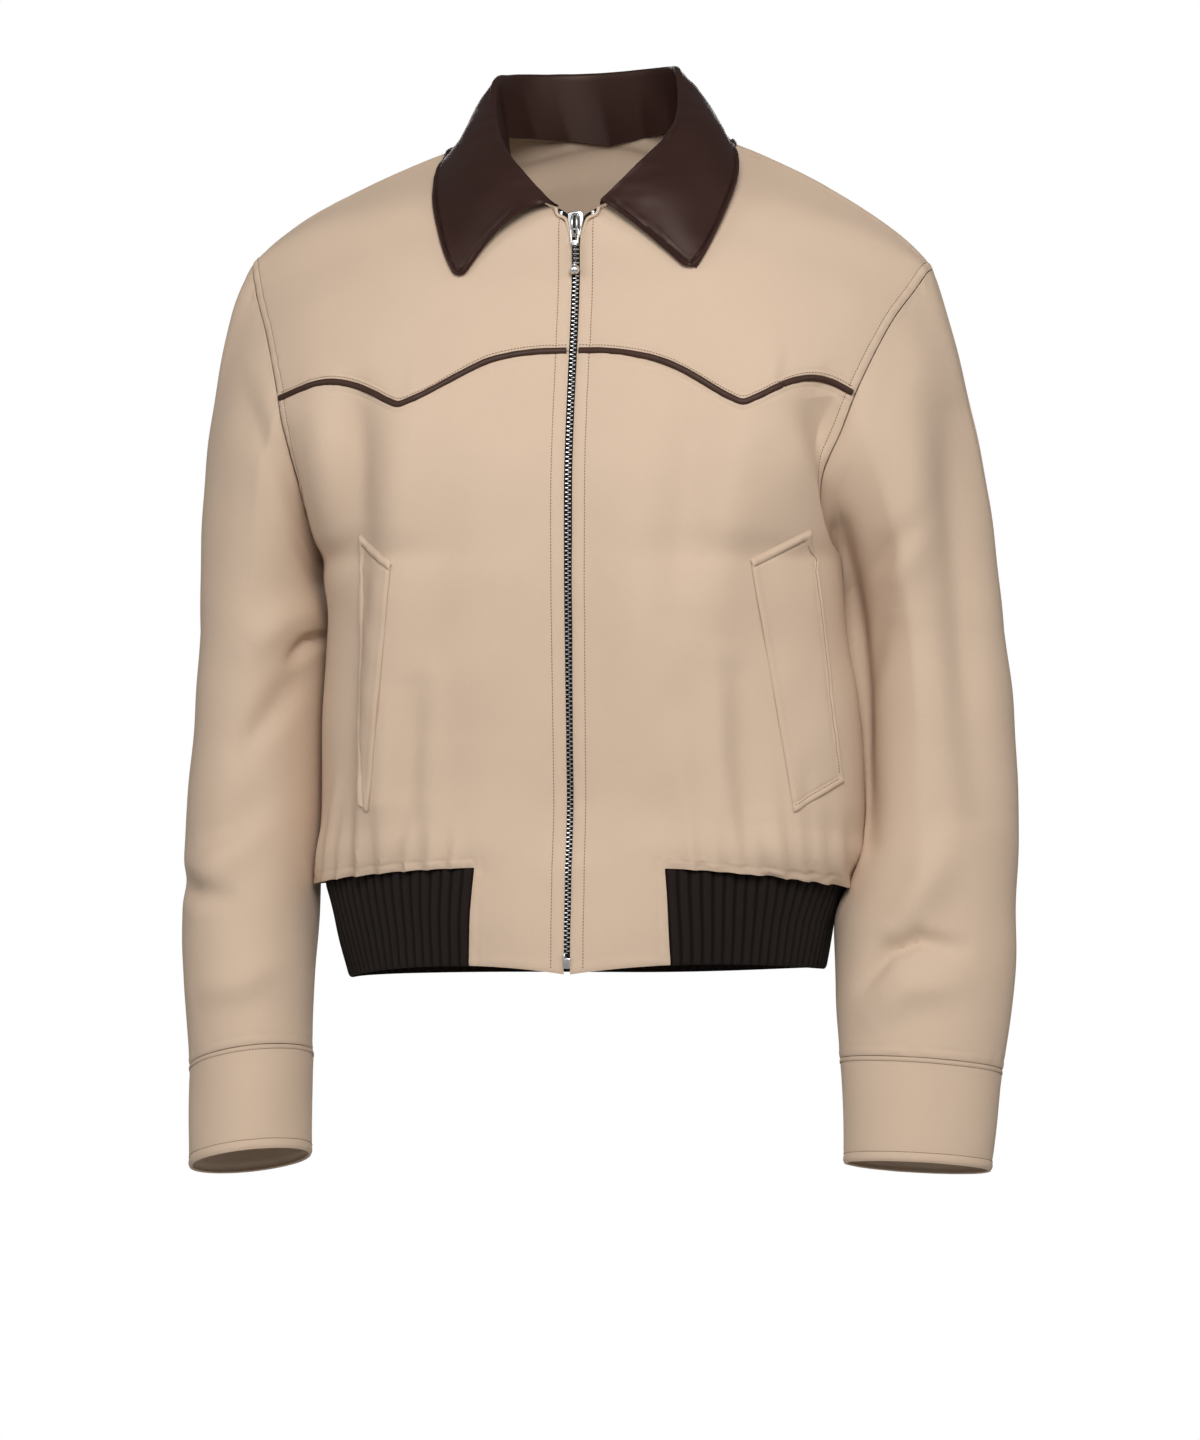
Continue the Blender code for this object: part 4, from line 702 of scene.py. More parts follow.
def make_fronts():
    """Each front: a grid of levels from the hem to the yoke seam by columns from the zip to the side."""
    for side, tag in SIDES:
        seam = yoke_level(side, column_u(side, COLUMNS, UNDERARM))
        hem = eased(HEM_LEVEL + SEAM_GAP, RIB_LEVEL - SEAM_GAP, HEM_ROWS)[:, None] * np.ones(len(COLUMNS))
        share = eased(0, 1, FRONT_ROWS)[:, None]
        level = np.concatenate([hem, RIB_LEVEL + SEAM_GAP + (seam - 2 * SEAM_GAP - RIB_LEVEL) * share])
        u = column_u(side, COLUMNS * np.ones((len(level), 1)), level)
        u[:, -1] = SIDE_U
        u[:HEM_ROWS, RIB_COLUMN] -= SEAM_GAP / 300
        keep = np.ones((len(level) - 1, len(COLUMNS) - 1), bool)
        keep[:HEM_ROWS, RIB_COLUMN:] = False
        p, out = torso("front", side, u, level), torso_normal("front", side, u, level)
        to_zip, to_side, to_hem, to_yoke = edge_lengths(p)
        to_rib, beside_rib = np.abs(level - RIB_LEVEL), np.abs(to_zip[:, [RIB_COLUMN]] - to_zip)
        plain, over_rib = COLUMNS <= RIB_SHARE, (level > RIB_LEVEL) & (COLUMNS > RIB_SHARE)
        relief = 0.30 * waves(p, 31 + side, 45, 130) * ramp(to_side, 30)
        relief += np.where(level[:, -1:] > UNDERARM, seam_relief(p, to_side, 5),
                           seam_relief(p, to_side, 6, bulge=0.1))
        relief += seam_relief(p, to_yoke, 7, bulge=0.2, roll=0.3)
        relief += folded_edge(p, to_zip, to_zip - FRONT_ZIP_STITCH, 0.16)
        relief += over_rib * seam_relief(p, to_rib, 9, bulge=0.1, pucker=0.3)
        relief += plain * ((level < RIB_LEVEL + 8) * seam_relief(p, beside_rib, 10, bulge=0.2)
                           + 0.35 * hump(to_hem, 4, 3) - 0.4 * hump(to_hem, 0, 0.8))
        p, n = raised(p, out, relief)
        sheet_piece("front_" + tag, p, n, painted_seam_shade(to_side, to_yoke, np.where(over_rib, to_rib, 99)), keep=keep,
                    flat=(0.245, 0.475), held="gathered", area=0.098)
        stitched("zip_" + tag, p[2:], n[2:], "left", FRONT_ZIP_STITCH)
        first = int(np.argmax(level[:, -1] > UNDERARM))
        stitched("armhole_front_" + tag, p[first:], n[first:], "right", SEAM_STITCH)


make_fronts()

# ------------------------------------------------------------------ the front yokes
# Each yoke is a separate shaped piece of the same twill, from the curved western seam over the chest
# up to the shoulder seam. At the neck it runs under the collar, and beside the zip it is folded under
# as the front is.
YOKE_STITCH = 4.2            # from the yoke seam to the stitches above it
YOKE_ZIP_STITCH = 12.4       # from the zip's centre line to the stitches beside it


def make_yokes():
    """Each yoke: a grid of levels from the yoke seam to the shoulder by the fronts' columns."""
    for side, tag in SIDES:
        seam = yoke_level(side, np.append(column_u(side, COLUMNS, UNDERARM)[:-1], 1.0)) + SEAM_GAP
        level = seam + (SHOULDER - SEAM_GAP - seam) * eased(0, 1, YOKE_ROWS)[:, None]
        u = column_u(side, COLUMNS * np.ones((YOKE_ROWS, 1)), level)
        u[:, -1] = SIDE_U
        p, out = torso("front", side, u, level), torso_normal("front", side, u, level)
        to_edge, to_side, to_yoke, to_shoulder = edge_lengths(p)
        relief = 0.25 * waves(p, 41 + side, 50, 120) * ramp(to_edge, 30) * ramp(to_side, 30)
        relief += seam_relief(p, to_side, 5) * ramp(to_shoulder, 8)
        relief += seam_relief(p, to_yoke, 12, bulge=0.35, roll=0.3, pucker=0.16)
        relief += seam_relief(p, to_shoulder, 13, bulge=0.1, pucker=0.08) * ramp(to_edge, 30)
        relief += ramp(CHEST_NECK + 4 - level, 8) * folded_edge(p, to_edge, np.abs(p[..., 0]) - YOKE_ZIP_STITCH, 0.20)
        p, n = raised(p, out, relief)
        sheet_piece("yoke_" + tag, p, n, painted_seam_shade(to_side, to_yoke, to_shoulder),
                    flat=(0.265, 0.265), held="hung", area=0.0465)
        stitched("armhole_yoke_" + tag, p, n, "right", SEAM_STITCH, span=(0, 0.97))
        stitched("yoke_" + tag, p, n, "foot", YOKE_STITCH, span=(0.02, 0.985))
        stitched("zip_top_" + tag, p, n, "left", YOKE_ZIP_STITCH, span=(0, 0.66), run=np.abs(p[..., 0]))


make_yokes()

# ------------------------------------------------------------------ the back
# One plain panel of the same twill, from the knit band up to the shoulder seams and round the back of
# the neck. It blouses over the band in a few soft folds.

# Half of the back; from level 0 up its first point runs round the back of the neck.
BACK = [(-600,    0,  112, -603,   95,  114, -603,    0,   66,   0),
        (-575,    0,  116, -577,   99,  118, -577,    2,   68,   0),
        (-545,    0,  119, -547,  103,  121, -547,    3,   71,   0),
        (-530,    0,  120, -532,  104,  122, -532,    3,   72,   0),
        (-515,    0,  125, -516,  108,  127, -516,    4,   75,   0),
        (-490,    0,  126, -490,  110,  128, -490,    4,   76,   0),
        (-430,    0,  123, -430,  110,  126, -430,    2,   74,   0),
        (-360,    0,  127, -360,  110,  130, -360,    2,   81,   0),
        (-303,    0,  132, -303,  110,  135, -303,    0,   88,   0),
        (-295,    0,  133, -295,  109,  136, -295,   -1,   88,   0),
        (-270,    0,  135, -270,   96,  138, -269,  -21,   62,   1),
        (-235,    0,  136, -235,   93,  139, -234,  -31,   42,   2),
        (-195,    0,  135, -195,  103,  138, -194,  -35,   34,   4),
        (-150,    0,  131, -148,  104,  134, -148,  -42,   34,  10),
        (-95,     0,  119,  -90,   98,  122,  -92,  -52,   32,  18),
        (-42,     0,  101,  -30,   86,  104,  -38,  -58,   28,  28),
        (-20,     0,   88,   -4,   80,   92,  -12,  -46,   20,  30),
        (0,       0,   72,   24,   78,   76,   15,  -31,   12,  34),
        (12,     44,   56,   29,  106,   44,   15,  -24,    7,  34),
        (24,     70,    8,   26,  132,    8,   10,  -19,    2,  33)]
BACK_SIDE = SEAM_SIDE + [(-270, -206,  38, -280, 182,  38, -281),
                         (-235, -212,  64, -245, 197,  64, -247),
                         (-195, -220,  74, -205, 208,  74, -206),
                         (-150, -229,  72, -165, 221,  72, -165),
                         (-95,  -240,  58, -125, 232,  58, -128),
                         (-42,  -249,  38,  -95, 240,  38, -102),
                         (-20,  -254,  29,  -83, 244,  29,  -92),
                         (0,    -257,  20,  -75, 247,  20,  -85),
                         (12,   -258,  13,  -71, 248,  13,  -81),
                         (24,   -259,   5,  -69, 249,   5,  -80)]


def make_back():
    """The back: levels by columns from side to side; above the neck's lowest point its halves part."""
    level = np.concatenate([eased(RIB_LEVEL + SEAM_GAP, BACK_NECK, 176),
                            eased(BACK_NECK, SHOULDER - SEAM_GAP, 16)[1:]])
    share = eased(0, 1, 74)
    middle = len(share)
    first = np.interp(level, (0, 12), (0, SEAM_GAP / 180))[:, None]
    u = first + (SIDE_U - first) * share
    rows = level[:, None] * np.ones(u.shape)
    p, out = (np.concatenate([form("back", -1, u[:, ::-1], rows), form("back", 1, u, rows)], axis=1)
              for form in (torso, torso_normal))
    same = np.linalg.norm(p[:, middle - 1] - p[:, middle], axis=1) < 0.01
    p[same, middle] = p[same, middle - 1]
    rows = np.concatenate([rows, rows], axis=1)
    to_right, to_left, to_rib, to_top = edge_lengths(p)
    to_side = np.minimum(to_right, to_left)
    relief = 0.8 * waves(p, 51, 60, 170) * ramp(to_side, 40) * ramp(to_top, 60)
    relief += np.where(rows > UNDERARM, seam_relief(p, to_side, 14), seam_relief(p, to_side, 6, bulge=0.1))
    relief += seam_relief(p, to_rib, 15, bulge=0.3, pucker=0.5)
    relief += seam_relief(p, to_top, 16, bulge=0.1, pucker=0.08)
    relief[:, middle - 1:middle + 1] = relief[:, middle - 1:middle + 1].mean(axis=1, keepdims=True)
    p = p + out * relief[..., None]
    p[same, middle] = p[same, middle - 1]
    n = np.concatenate([grid_normals(p[:, half], out[:, half]) for half in (slice(0, middle), slice(middle, None))],
                       axis=1)
    keep = np.ones((len(level) - 1, p.shape[1] - 1), bool)
    keep[:, middle - 1] = False
    sheet_piece("back", p, n, painted_seam_shade(to_side, to_rib, to_top), keep=keep,
                flat=(0.56, 0.62), held="gathered", area=0.295)
    arm = int(np.argmax(level > UNDERARM))
    stitched("armhole_back_right", p[arm:], n[arm:], "left", SEAM_STITCH, span=(0, 0.97))
    stitched("armhole_back_left", p[arm:], n[arm:], "right", SEAM_STITCH, span=(0, 0.97))


make_back()

# ------------------------------------------------------------------ the sleeves
# Set-in sleeves of the same twill, each one tube with its seam under the arm. They hang a little
# forward with bent elbows, so the cloth folds at the underarm and the elbow and breaks over the cuff.

# Levels of the rows round the armhole: steps up the front below and above the yoke seam, and the back's.
FRONT_STEPS = np.array([0, 0.1, 0.28, 0.5, 0.75, 1])
YOKE_STEPS = np.array([0, 0.27, 0.49, 0.6, 0.68, 0.76, 0.82, 0.88, 0.94, 1])
ARM_LEVELS = np.array([-295, -283, -262, -236, -208, -176, -142, -108, -76, -46, -18, 0, 8, 16, 24], float)
AROUND = 28
FIRST_RING, CUFF_TOP, CUFF_HEM = -345, -660, -733

# A ring every few centimetres below the armhole: centre, half-width, half-depth, and how far the ring
# leans forward and rises towards the body, in degrees. The last ring is the cuff's hem.
#             z     cx    cy   half_x half_y lean  rise
RINGS = {-1: [(-345, -248,    2,  50,   70,    0,   0),
              (-400, -252,    0,  50,   68,    3,   2),
              (-470, -255,   -8,  51,   64,    7,   4),
              (-544, -255,  -24,  51,   60,   11,   7),
              (-618, -252,  -44,  47,   55,   13,   9),
              (-660, -248,  -57,  45,   50,   14,  10),
              (-734, -244,  -77,  45,   48,   14,   9)],
         1: [(-345,  238,    6,  63,   60,    0,   0),
             (-400,  243,    4,  65,   60,    2,   0),
             (-470,  245,    0,  67,   56,    5,   0),
             (-544,  245,  -12,  67,   50,    8,   1),
             (-618,  245,  -28,  64,   46,   10,   2),
             (-660,  244,  -38,  59,   43,   11,   3),
             (-732,  243,  -54,  53,   40,   11,   2)]}

# Where the sleeve leaves the armhole, and how far up its first ring reaches: outward, down and up at
# the underarm and at the shoulder point, the front and back in between.
CAP = {-1: {"out": (15, 30), "down": (16, 52), "reach": (18, 124), "fuller": 0, "forward": 12},
       1: {"out": (15, 20), "down": (16, 58), "reach": (18, 112), "fuller": -8, "forward": 12}}

# The front of the left sleeve falls back where it passes behind the body's drape: (z, how far back).
SLEEVE_TUCK = [(-560, 0), (-480, 10), (-400, 18), (-320, 22), (-260, 14), (-215, 4), (-190, 0)]

#                    height w_in w_out points, as seen from the front, (x, z)
SLEEVE_FOLDS = {-1: [(6, 14, 14, [(-218, -236), (-211, -280), (-202, -318), (-200, -340)]),
                     (-5, 14, 16, [(-254, -168), (-240, -190), (-224, -212), (-217, -240)]),
                     (-9, 5, 5, [(-192, -347), (-208, -353), (-217, -366)]),
                     (6, 12, 14, [(-206, -328), (-224, -338), (-246, -360)]),
                     (-7, 9, 12, [(-250, -432), (-228, -402), (-212, -376)]),
                     (-8, 9, 9, [(-312, -528), (-290, -534), (-262, -540)]),
                     (7, 14, 18, [(-250, -500), (-268, -516), (-282, -544)]),
                     (-5, 12, 14, [(-238, -470), (-262, -492), (-290, -500)]),
                     (5, 12, 14, [(-226, -590), (-250, -604), (-282, -608)]),
                     (3, 9, 7, [(-220, -676), (-256, -682), (-300, -684)])],
                1: [(-11, 16, 16, [(268, -190), (273, -270), (278, -350), (281, -400), (288, -474)]),
                    (7, 16, 18, [(236, -150), (240, -240), (238, -330)]),
                    (-15, 8, 12, [(184, -276), (187, -330), (191, -380), (196, -440), (202, -496)]),
                    (-3.5, 9, 9, [(240, -270), (222, -288), (204, -312)]),
                    (2.5, 10, 10, [(240, -290), (224, -312), (212, -344)]),
                    (-3.5, 8, 8, [(222, -320), (212, -350), (205, -390)]),
                    (8, 13, 15, [(262, -500), (248, -530), (230, -556)]),
                    (-9, 8, 6, [(206, -600), (222, -578), (246, -568), (272, -574)]),
                    (6, 12, 12, [(214, -622), (236, -604), (268, -600)]),
                    (3, 9, 7, [(196, -676), (236, -682), (290, -684)])]}


def armhole_levels(side, face, t):
    """Level of the armhole's edge, t from 0 at the underarm to 1 at the shoulder point."""
    levels = ARM_LEVELS
    if face == "front":
        seam = yoke_level(side, 1.0)[0]
        levels = np.concatenate([UNDERARM + (seam - UNDERARM) * FRONT_STEPS,
                                 seam + (SHOULDER - seam) * YOKE_STEPS[1:]])
    return np.interp(t, np.linspace(0, 1, len(levels)), levels)


def armhole(side, turn):
    """Points of the armhole, turn from 0 at the underarm up the front to 0.5 at the shoulder point and
    down the back to 1."""
    turn = np.asarray(turn, float) % 1.0
    ones = np.ones(turn.shape)
    front = torso("front", side, ones, armhole_levels(side, "front", turn * 2))
    rear = torso("back", side, ones, armhole_levels(side, "back", 2 - turn * 2))
    return np.where((turn <= 0.5)[..., None], front, rear)


def armhole_shares(side):
    """Turns round the armhole and the share of the way round the sleeve that each comes at: by length
    up the front to the shoulder point, and by length down the back."""
    turn = np.arange(-AROUND // 4, AROUND + AROUND // 4 + 1) / AROUND
    loop = armhole(side, np.arange(AROUND + 1) / AROUND)
    run = run_along(loop)
    half, quarter = AROUND // 2, AROUND // 4
    share = np.where(run <= run[half], run / run[half] / 2,
                     0.5 + (run - run[half]) / (run[-1] - run[half]) / 2)
    return turn, np.concatenate([share[-quarter - 1:-1] - 1, share, share[1:quarter + 1] + 1])


def sleeve_base(side, shares, turn, row):
    """A point of a sleeve before its folds: row 0 at the armhole, 1 at the first ring, 2 at the top of
    the cuff and 3 at its hem. Down to row 1 it is a cubic curve from the armhole to the first ring;
    below, an ellipse whose measures follow the table of rings."""
    turn, row = np.broadcast_arrays(np.asarray(turn, float), np.asarray(row, float))
    cap = CAP[side]
    angle = 2 * math.pi * np.interp(turn, *shares)
    inner, front = np.cos(angle), np.sin(angle)
    z = np.interp(row, (1, 2, 3), (FIRST_RING, CUFF_TOP, CUFF_HEM))
    ring = smooth([(-r[0],) + r[1:] for r in RINGS[side]], -z)
    cx, cy, half_x, half_y, lean, rise = (ring[..., k] for k in range(6))
    tilt = np.radians(lean)
    body = np.stack([cx - side * half_x * inner, cy - half_y * front * np.cos(tilt),
                     z + half_y * front * np.sin(tilt) + half_x * inner * np.sin(np.radians(rise))],
                    axis=-1)
    share = (1 - inner) / 2
    out, down, reach = (cap[k][0] + (cap[k][1] - cap[k][0]) * share for k in ("out", "down", "reach"))
    start = armhole(side, turn)
    leave = np.stack([side * out, -cap["forward"] * front, -down], axis=-1)
    arrive = np.stack([side * cap["fuller"] * share, 0 * reach, reach], axis=-1)
    upper = bezier(start, start + leave, body + arrive, body, np.clip(row, 0, 1))
    p = np.where((row < 1)[..., None], upper, body)
    if side > 0:
        tuck = np.interp(p[..., 2], *np.array(SLEEVE_TUCK, float).T) * ramp(row, 0.2)
        p[..., 1] += tuck * np.maximum(inner, 0) * np.maximum(front, 0) * 2
    return p


def softened(grid, passes, around=False):
    """The grid after this many passes of (one before + twice itself + one after) / 4 in both directions;
    around says that its last column is its first."""
    for _ in range(passes):
        for axis in (0, 1):
            first, last = ([-2], [1]) if axis == 1 and around else ([0], [-1])
            longer = np.concatenate([grid.take(first, axis), grid, grid.take(last, axis)], axis)
            before, after = (longer.take(np.arange(k, k + grid.shape[axis]), axis) for k in (0, 2))
            grid = (before + 2 * grid + after) / 4
    return grid


PUSH_REACH, PUSH_FADE = 13, 5        # how far beside a point it pushes, and where that fades out
PUSH_DEPTH = 45                      # what lies deeper than this inside isn't pushed


def pushed_clear(p, points, normals, gap, passes=4, around=False):
    """Each p moved out along the normal of the nearest of the points until it stands gap away from it;
    the moves are softened over the grid."""
    flat, gap = p.reshape(-1, 3).copy(), np.broadcast_to(gap, p.shape[:-1]).reshape(-1)
    wanted = np.flatnonzero(gap > 0)
    for _ in range(2):
        for start in range(0, len(wanted), 500):
            which = wanted[start:start + 500]
            part = flat[which]
            away = (part ** 2).sum(-1)[:, None] - 2 * part @ points.T + (points ** 2).sum(-1)[None]
            near = away.argmin(axis=1)
            n = normals[near]
            depth = ((part - points[near]) * n).sum(-1)
            beside = np.linalg.norm(part - points[near] - n * depth[:, None], axis=1)
            push = np.maximum(gap[which] - depth, 0) * ramp(PUSH_REACH - beside, PUSH_FADE)
            flat[which] = part + n * np.where(depth > -PUSH_DEPTH, push, 0)[:, None]
    return p + softened(flat.reshape(p.shape) - p, passes, around)


def body_samples():
    """Points and normals all over the body, for keeping sleeves and collar clear of it."""
    points, normals = [], []
    levels = np.concatenate([np.arange(-600, -300, 8), np.arange(-300, SHOULDER, 5)])
    u, level = np.meshgrid(np.linspace(0.01, 0.995, 56), levels)
    for side in (-1, 1):
        for face in ("front", "back"):
            points.append(torso(face, side, u, level).reshape(-1, 3))
            normals.append(torso_normal(face, side, u, level).reshape(-1, 3))
    return np.concatenate(points), np.concatenate(normals)


body_points, body_normals = body_samples()


SLEEVE_CLEAR = 1.4                   # between a sleeve's shown side and the body's


def sleeve_form(side, shares, turn, row):
    """A point of a sleeve with its folds along its normal, kept clear of the body beside it."""
    p = sleeve_base(side, shares, turn, row)
    along = sleeve_base(side, shares, turn + 0.01, row) - sleeve_base(side, shares, turn - 0.01, row)
    down = (sleeve_base(side, shares, turn, np.minimum(row + 0.01, 3))
            - sleeve_base(side, shares, turn, np.maximum(row - 0.01, 0)))
    n = unit(np.cross(along, down) * -side)
    relief = np.zeros(p.shape[:-1])
    for height, width_in, width_out, points in SLEEVE_FOLDS[side]:
        relief += height * fold_height(points, p[..., 0], p[..., 2], width_in, width_out)
    ahead = np.clip(0.25 - n[..., 1] * 1.3, 0, 1)
    relief *= ahead ** 2 * (3 - 2 * ahead)
    relief *= ramp(row, 0.25) * ramp(2 - row, 0.03)
    p = p + n * relief[..., None]
    facing = np.cos(2 * math.pi * np.interp(turn, *shares))
    gap = np.where((row > 0.05) & (facing > -0.3), SLEEVE_CLEAR, -1)
    same_side = (body_points[:, 0] * side > 90)
    return pushed_clear(p, body_points[same_side], body_normals[same_side], gap, around=True), n


SLEEVE_COLUMNS = 145


def make_sleeves():
    """Each sleeve: rings from the armhole to the cuff by points all round, the first and last the same."""
    row = np.concatenate([eased(0.004, 1, 84, 0.75), np.linspace(1, 1.9, 74)[1:],
                          1.9 + 0.0990 * np.sin(np.linspace(0, math.pi / 2, 24))[1:]])
    turn, rows = np.meshgrid(np.linspace(0, 1, SLEEVE_COLUMNS), row)
    for side, tag in SIDES:
        p, out = sleeve_form(side, armhole_shares(side), turn, rows)
        p[:, -1], out[:, -1] = p[:, 0], out[:, 0]
        to_armhole, to_cuff = lengths_from(p, "foot"), lengths_from(p, "top")
        relief = 0.45 * waves(p, 61 + side, 50, 140) * ramp(to_armhole, 40) * ramp(to_cuff, 40)
        relief += 0.2 * waves(p, 17, 8, 16) * hump(to_armhole, 4, 5) - 0.3 * hump(to_armhole, 0, 0.8)
        relief += seam_relief(p, to_cuff, 18, bulge=0.1, roll=0.3)
        relief[:, -1] = relief[:, 0]
        p, n = raised(p, out, relief)
        sheet_piece("sleeve_" + tag, p, n, painted_seam_shade(to_armhole, to_cuff),
                    flat=(0.46, 0.61), held="hung", area=0.19)


make_sleeves()

# ------------------------------------------------------------------ the cuffs
# Plain bands of the same twill, doubled and sewn to the sleeve end with the seam turned down, stitched
# just under the seam and again above the hem.
CUFF_WALL = 2.2
CUFF_STITCH, CUFF_HEM_STITCH = 3.4, 7.2


def make_cuffs():
    """Each cuff: rings from the sleeve's end to the hem, which is folded over."""
    turn, rows = np.meshgrid(np.linspace(0, 1, SLEEVE_COLUMNS), eased(2.0025, 3, 44, 0.7))
    for side, tag in SIDES:
        p = sleeve_base(side, armhole_shares(side), turn, rows)
        p[:, -1] = p[:, 0]
        out = grid_normals(p, p - p.mean(axis=1, keepdims=True))
        to_top, to_hem = lengths_from(p, "foot"), lengths_from(p, "top")
        relief = (0.55 * hump(to_top, 1.6, 1.6) - 0.25 * hump(to_top, 0, 0.8) - 0.25 * hump(to_top, CUFF_STITCH, 0.8)
                  + 0.10 * waves(p, 19, 8, 18) * hump(to_top, 6, 6))
        relief += (0.45 * hump(to_hem, 3.4, 2.6) - 0.6 * hump(to_hem, 0, 1.1)
                   - 0.35 * hump(to_hem, CUFF_HEM_STITCH, 0.8) + 0.12 * waves(p, 20, 8, 18) * hump(to_hem, 6, 5))
        relief += 0.35 * waves(p, 71 + side, 40, 90)
        relief[:, -1] = relief[:, 0]
        p, n = raised(p, out, relief)
        sheet_piece("cuff_" + tag, p, n, painted_seam_shade(to_top, to_hem + 3), CUFF_WALL, grow=0.25,
                    flat=(0.30, 0.076), held="hung")
        stitched("cuff_top_" + tag, p, n, "foot", CUFF_STITCH)
        stitched("cuff_hem_" + tag, p, n, "top", CUFF_HEM_STITCH)


make_cuffs()

# ------------------------------------------------------------------ the knit hem band
# A band of dark-brown rib knit, one rib every 8 mm, round the sides and back between the plain fronts.
# It is doubled, with its fold at the hem, and pulls the cloth above it into gathers.
KNIT_WALL = 1.6
RIB_COUNT, RIB_POINTS, RIB_RAISE = 104, 8, 1.3
RIB_MIDDLE = -566            # level of the band's middle outline


def rib_knit():
    """Rib knit: columns of V-shaped stitches 1.6 mm high along each rib, and a little fuzz. The grooves between the
    ribs are painted much darker, as painted shade.
    """
    group, given = new_group("rib_knit", Seam=0.0, Rise=0.0016)
    part = node(group, "SeparateXYZ", {0: given["Thread"]}).outputs
    wale = maths(group, "ABSOLUTE", ripple(group, part["X"], 0.0026))
    loops = ripple(group, scaled(group, wale, 0.0011, part["Y"]), given["Rise"])
    fuzz = noise(group, given["Thread"], 900.0, 3.0)
    tone = scaled(group, maths(group, "SUBTRACT", fuzz, 0.5), 0.5, scaled(group, loops, 0.22, 1.0))
    # the mask is 1 in the grooves between ribs; darkening there is painted shade
    tone = scaled(group, given["Seam"], -0.75, tone)
    height = scaled(group, loops, 0.5, maths(group, "MULTIPLY", wale, 0.6))
    return put_out(group, given, tone, scaled(group, fuzz, 0.6, height))


BROWN_KNIT = (0.017, 0.0111, 0.0092)
knit = finish("brown_rib", BROWN_KNIT, 0.92, rib_knit(), (0.5, 0.0004),
              {"Sheen Weight": 0.03, "Sheen Roughness": 0.6, "Specular IOR Level": 0.1})


def hem_path(level):
    """Points of the band's outline at one level, from one front's plain cloth round the back."""
    u = np.linspace(0, 1, 241)
    edge_r, edge_l = (column_u(side, np.array([RIB_SHARE]), level)[0] + SEAM_GAP / 200 for side, _ in SIDES)
    level = np.full(241, float(level))
    return np.concatenate([torso("front", -1, edge_r + (1 - edge_r) * u, level),
                           torso("back", -1, 1 - u, level)[1:],
                           torso("back", 1, u, level)[1:],
                           torso("front", 1, 1 - (1 - edge_l) * u, level)[1:]])


def make_rib():
    """The band: eight points to each rib, whose face is raised as (1 - |cosine|^3) of half a turn to a
    rib; rows between three outlines of the body."""
    count = RIB_COUNT * RIB_POINTS + 1
    outlines, top = [], RIB_LEVEL - 6
    for level in (top, RIB_MIDDLE, HEM_LEVEL + SEAM_GAP):
        path = hem_path(level)
        run = run_along(path)
        outlines.append(points_at(np.linspace(0, run[-1], count), run, path))
    outlines = np.array(outlines)
    outlines[0] += (outlines[0] - outlines[1]) * (RIB_LEVEL - top) / (top - RIB_MIDDLE)
    at = eased(0, 1, 30, 0.5)
    places = (0, (RIB_LEVEL - RIB_MIDDLE) / (RIB_LEVEL - HEM_LEVEL), 1)
    p = np.stack([points_at(at, places, outlines[:, j]) for j in range(count)], axis=1)
    flat = np.gradient(p, axis=1)
    out = unit(np.cross(flat, (0, 0, 1.0)))
    out = out * np.sign((out * (p - p.mean(axis=(0, 1)))).sum(-1).mean())
    rib = 1 - np.abs(np.cos(np.arange(count) / RIB_POINTS * math.pi)) ** 3
    to_top, to_hem = lengths_from(p, "foot"), lengths_from(p, "top")
    sway = 0.5 * np.sin(to_top / 11 + waves(p * [1, 1, 0.15], 21, 30, 80))
    relief = RIB_RAISE * (rib - 1) * np.clip(to_hem / 2.5, 0.2, 1)
    relief += 0.35 * waves(p, 22, 30, 90) - 0.7 * hump(to_hem, 0, 1.1) - 0.5 * hump(to_top, 0, 1.5)
    p = p + out * relief[..., None] + unit(flat) * (sway * ramp(to_top, 10))[..., None] * 0.4
    # the mask handed on here marks the rib's grooves, which the knit paints darker as painted shade
    sheet_piece("hem_rib", p, out, np.clip(1 - rib * 1.6, 0, 1), KNIT_WALL, knit, "brown_rib", grow=0.3,
                thread=np.stack([lengths_from(p, "left"), to_hem], axis=-1), flat=(0.80, 0.072), held="stretched")


make_rib()

# ------------------------------------------------------------------ the collar
# A pointed shirt collar of smooth dark-brown leather: a stand round the inside of the neck, a soft
# roll, and a fall whose doubled edges are turned, pressed and stitched 4.4 mm in.
LEATHER_WALL, FALL_WALL = 1.5, 2.8
TIP_ROUND = 13.0             # the fall's points are turned round this far from their corner
COLLAR_STITCH = 4.4

# Half of the collar from the middle of the back to its front end: the roll line and the outer edge.
#         s      roll line         outer edge
COLLAR = [(0,      0,  60,  74,      0,  90,  14),
          (0.15,  36,  52,  74,     46,  84,  12),
          (0.30,  59,  30,  72,     86,  58,  12),
          (0.42,  68,   6,  67,    107,  20,   9),
          (0.55,  70, -18,  46,    114, -18,   4),
          (0.68,  67, -42,  24,    114, -48, -18),
          (0.80,  58, -62,   6,    107, -72, -45),
          (0.90,  43, -80, -11,     96, -91, -74),
          (1.00,  18, -95, -37,     85, -100, -94)]


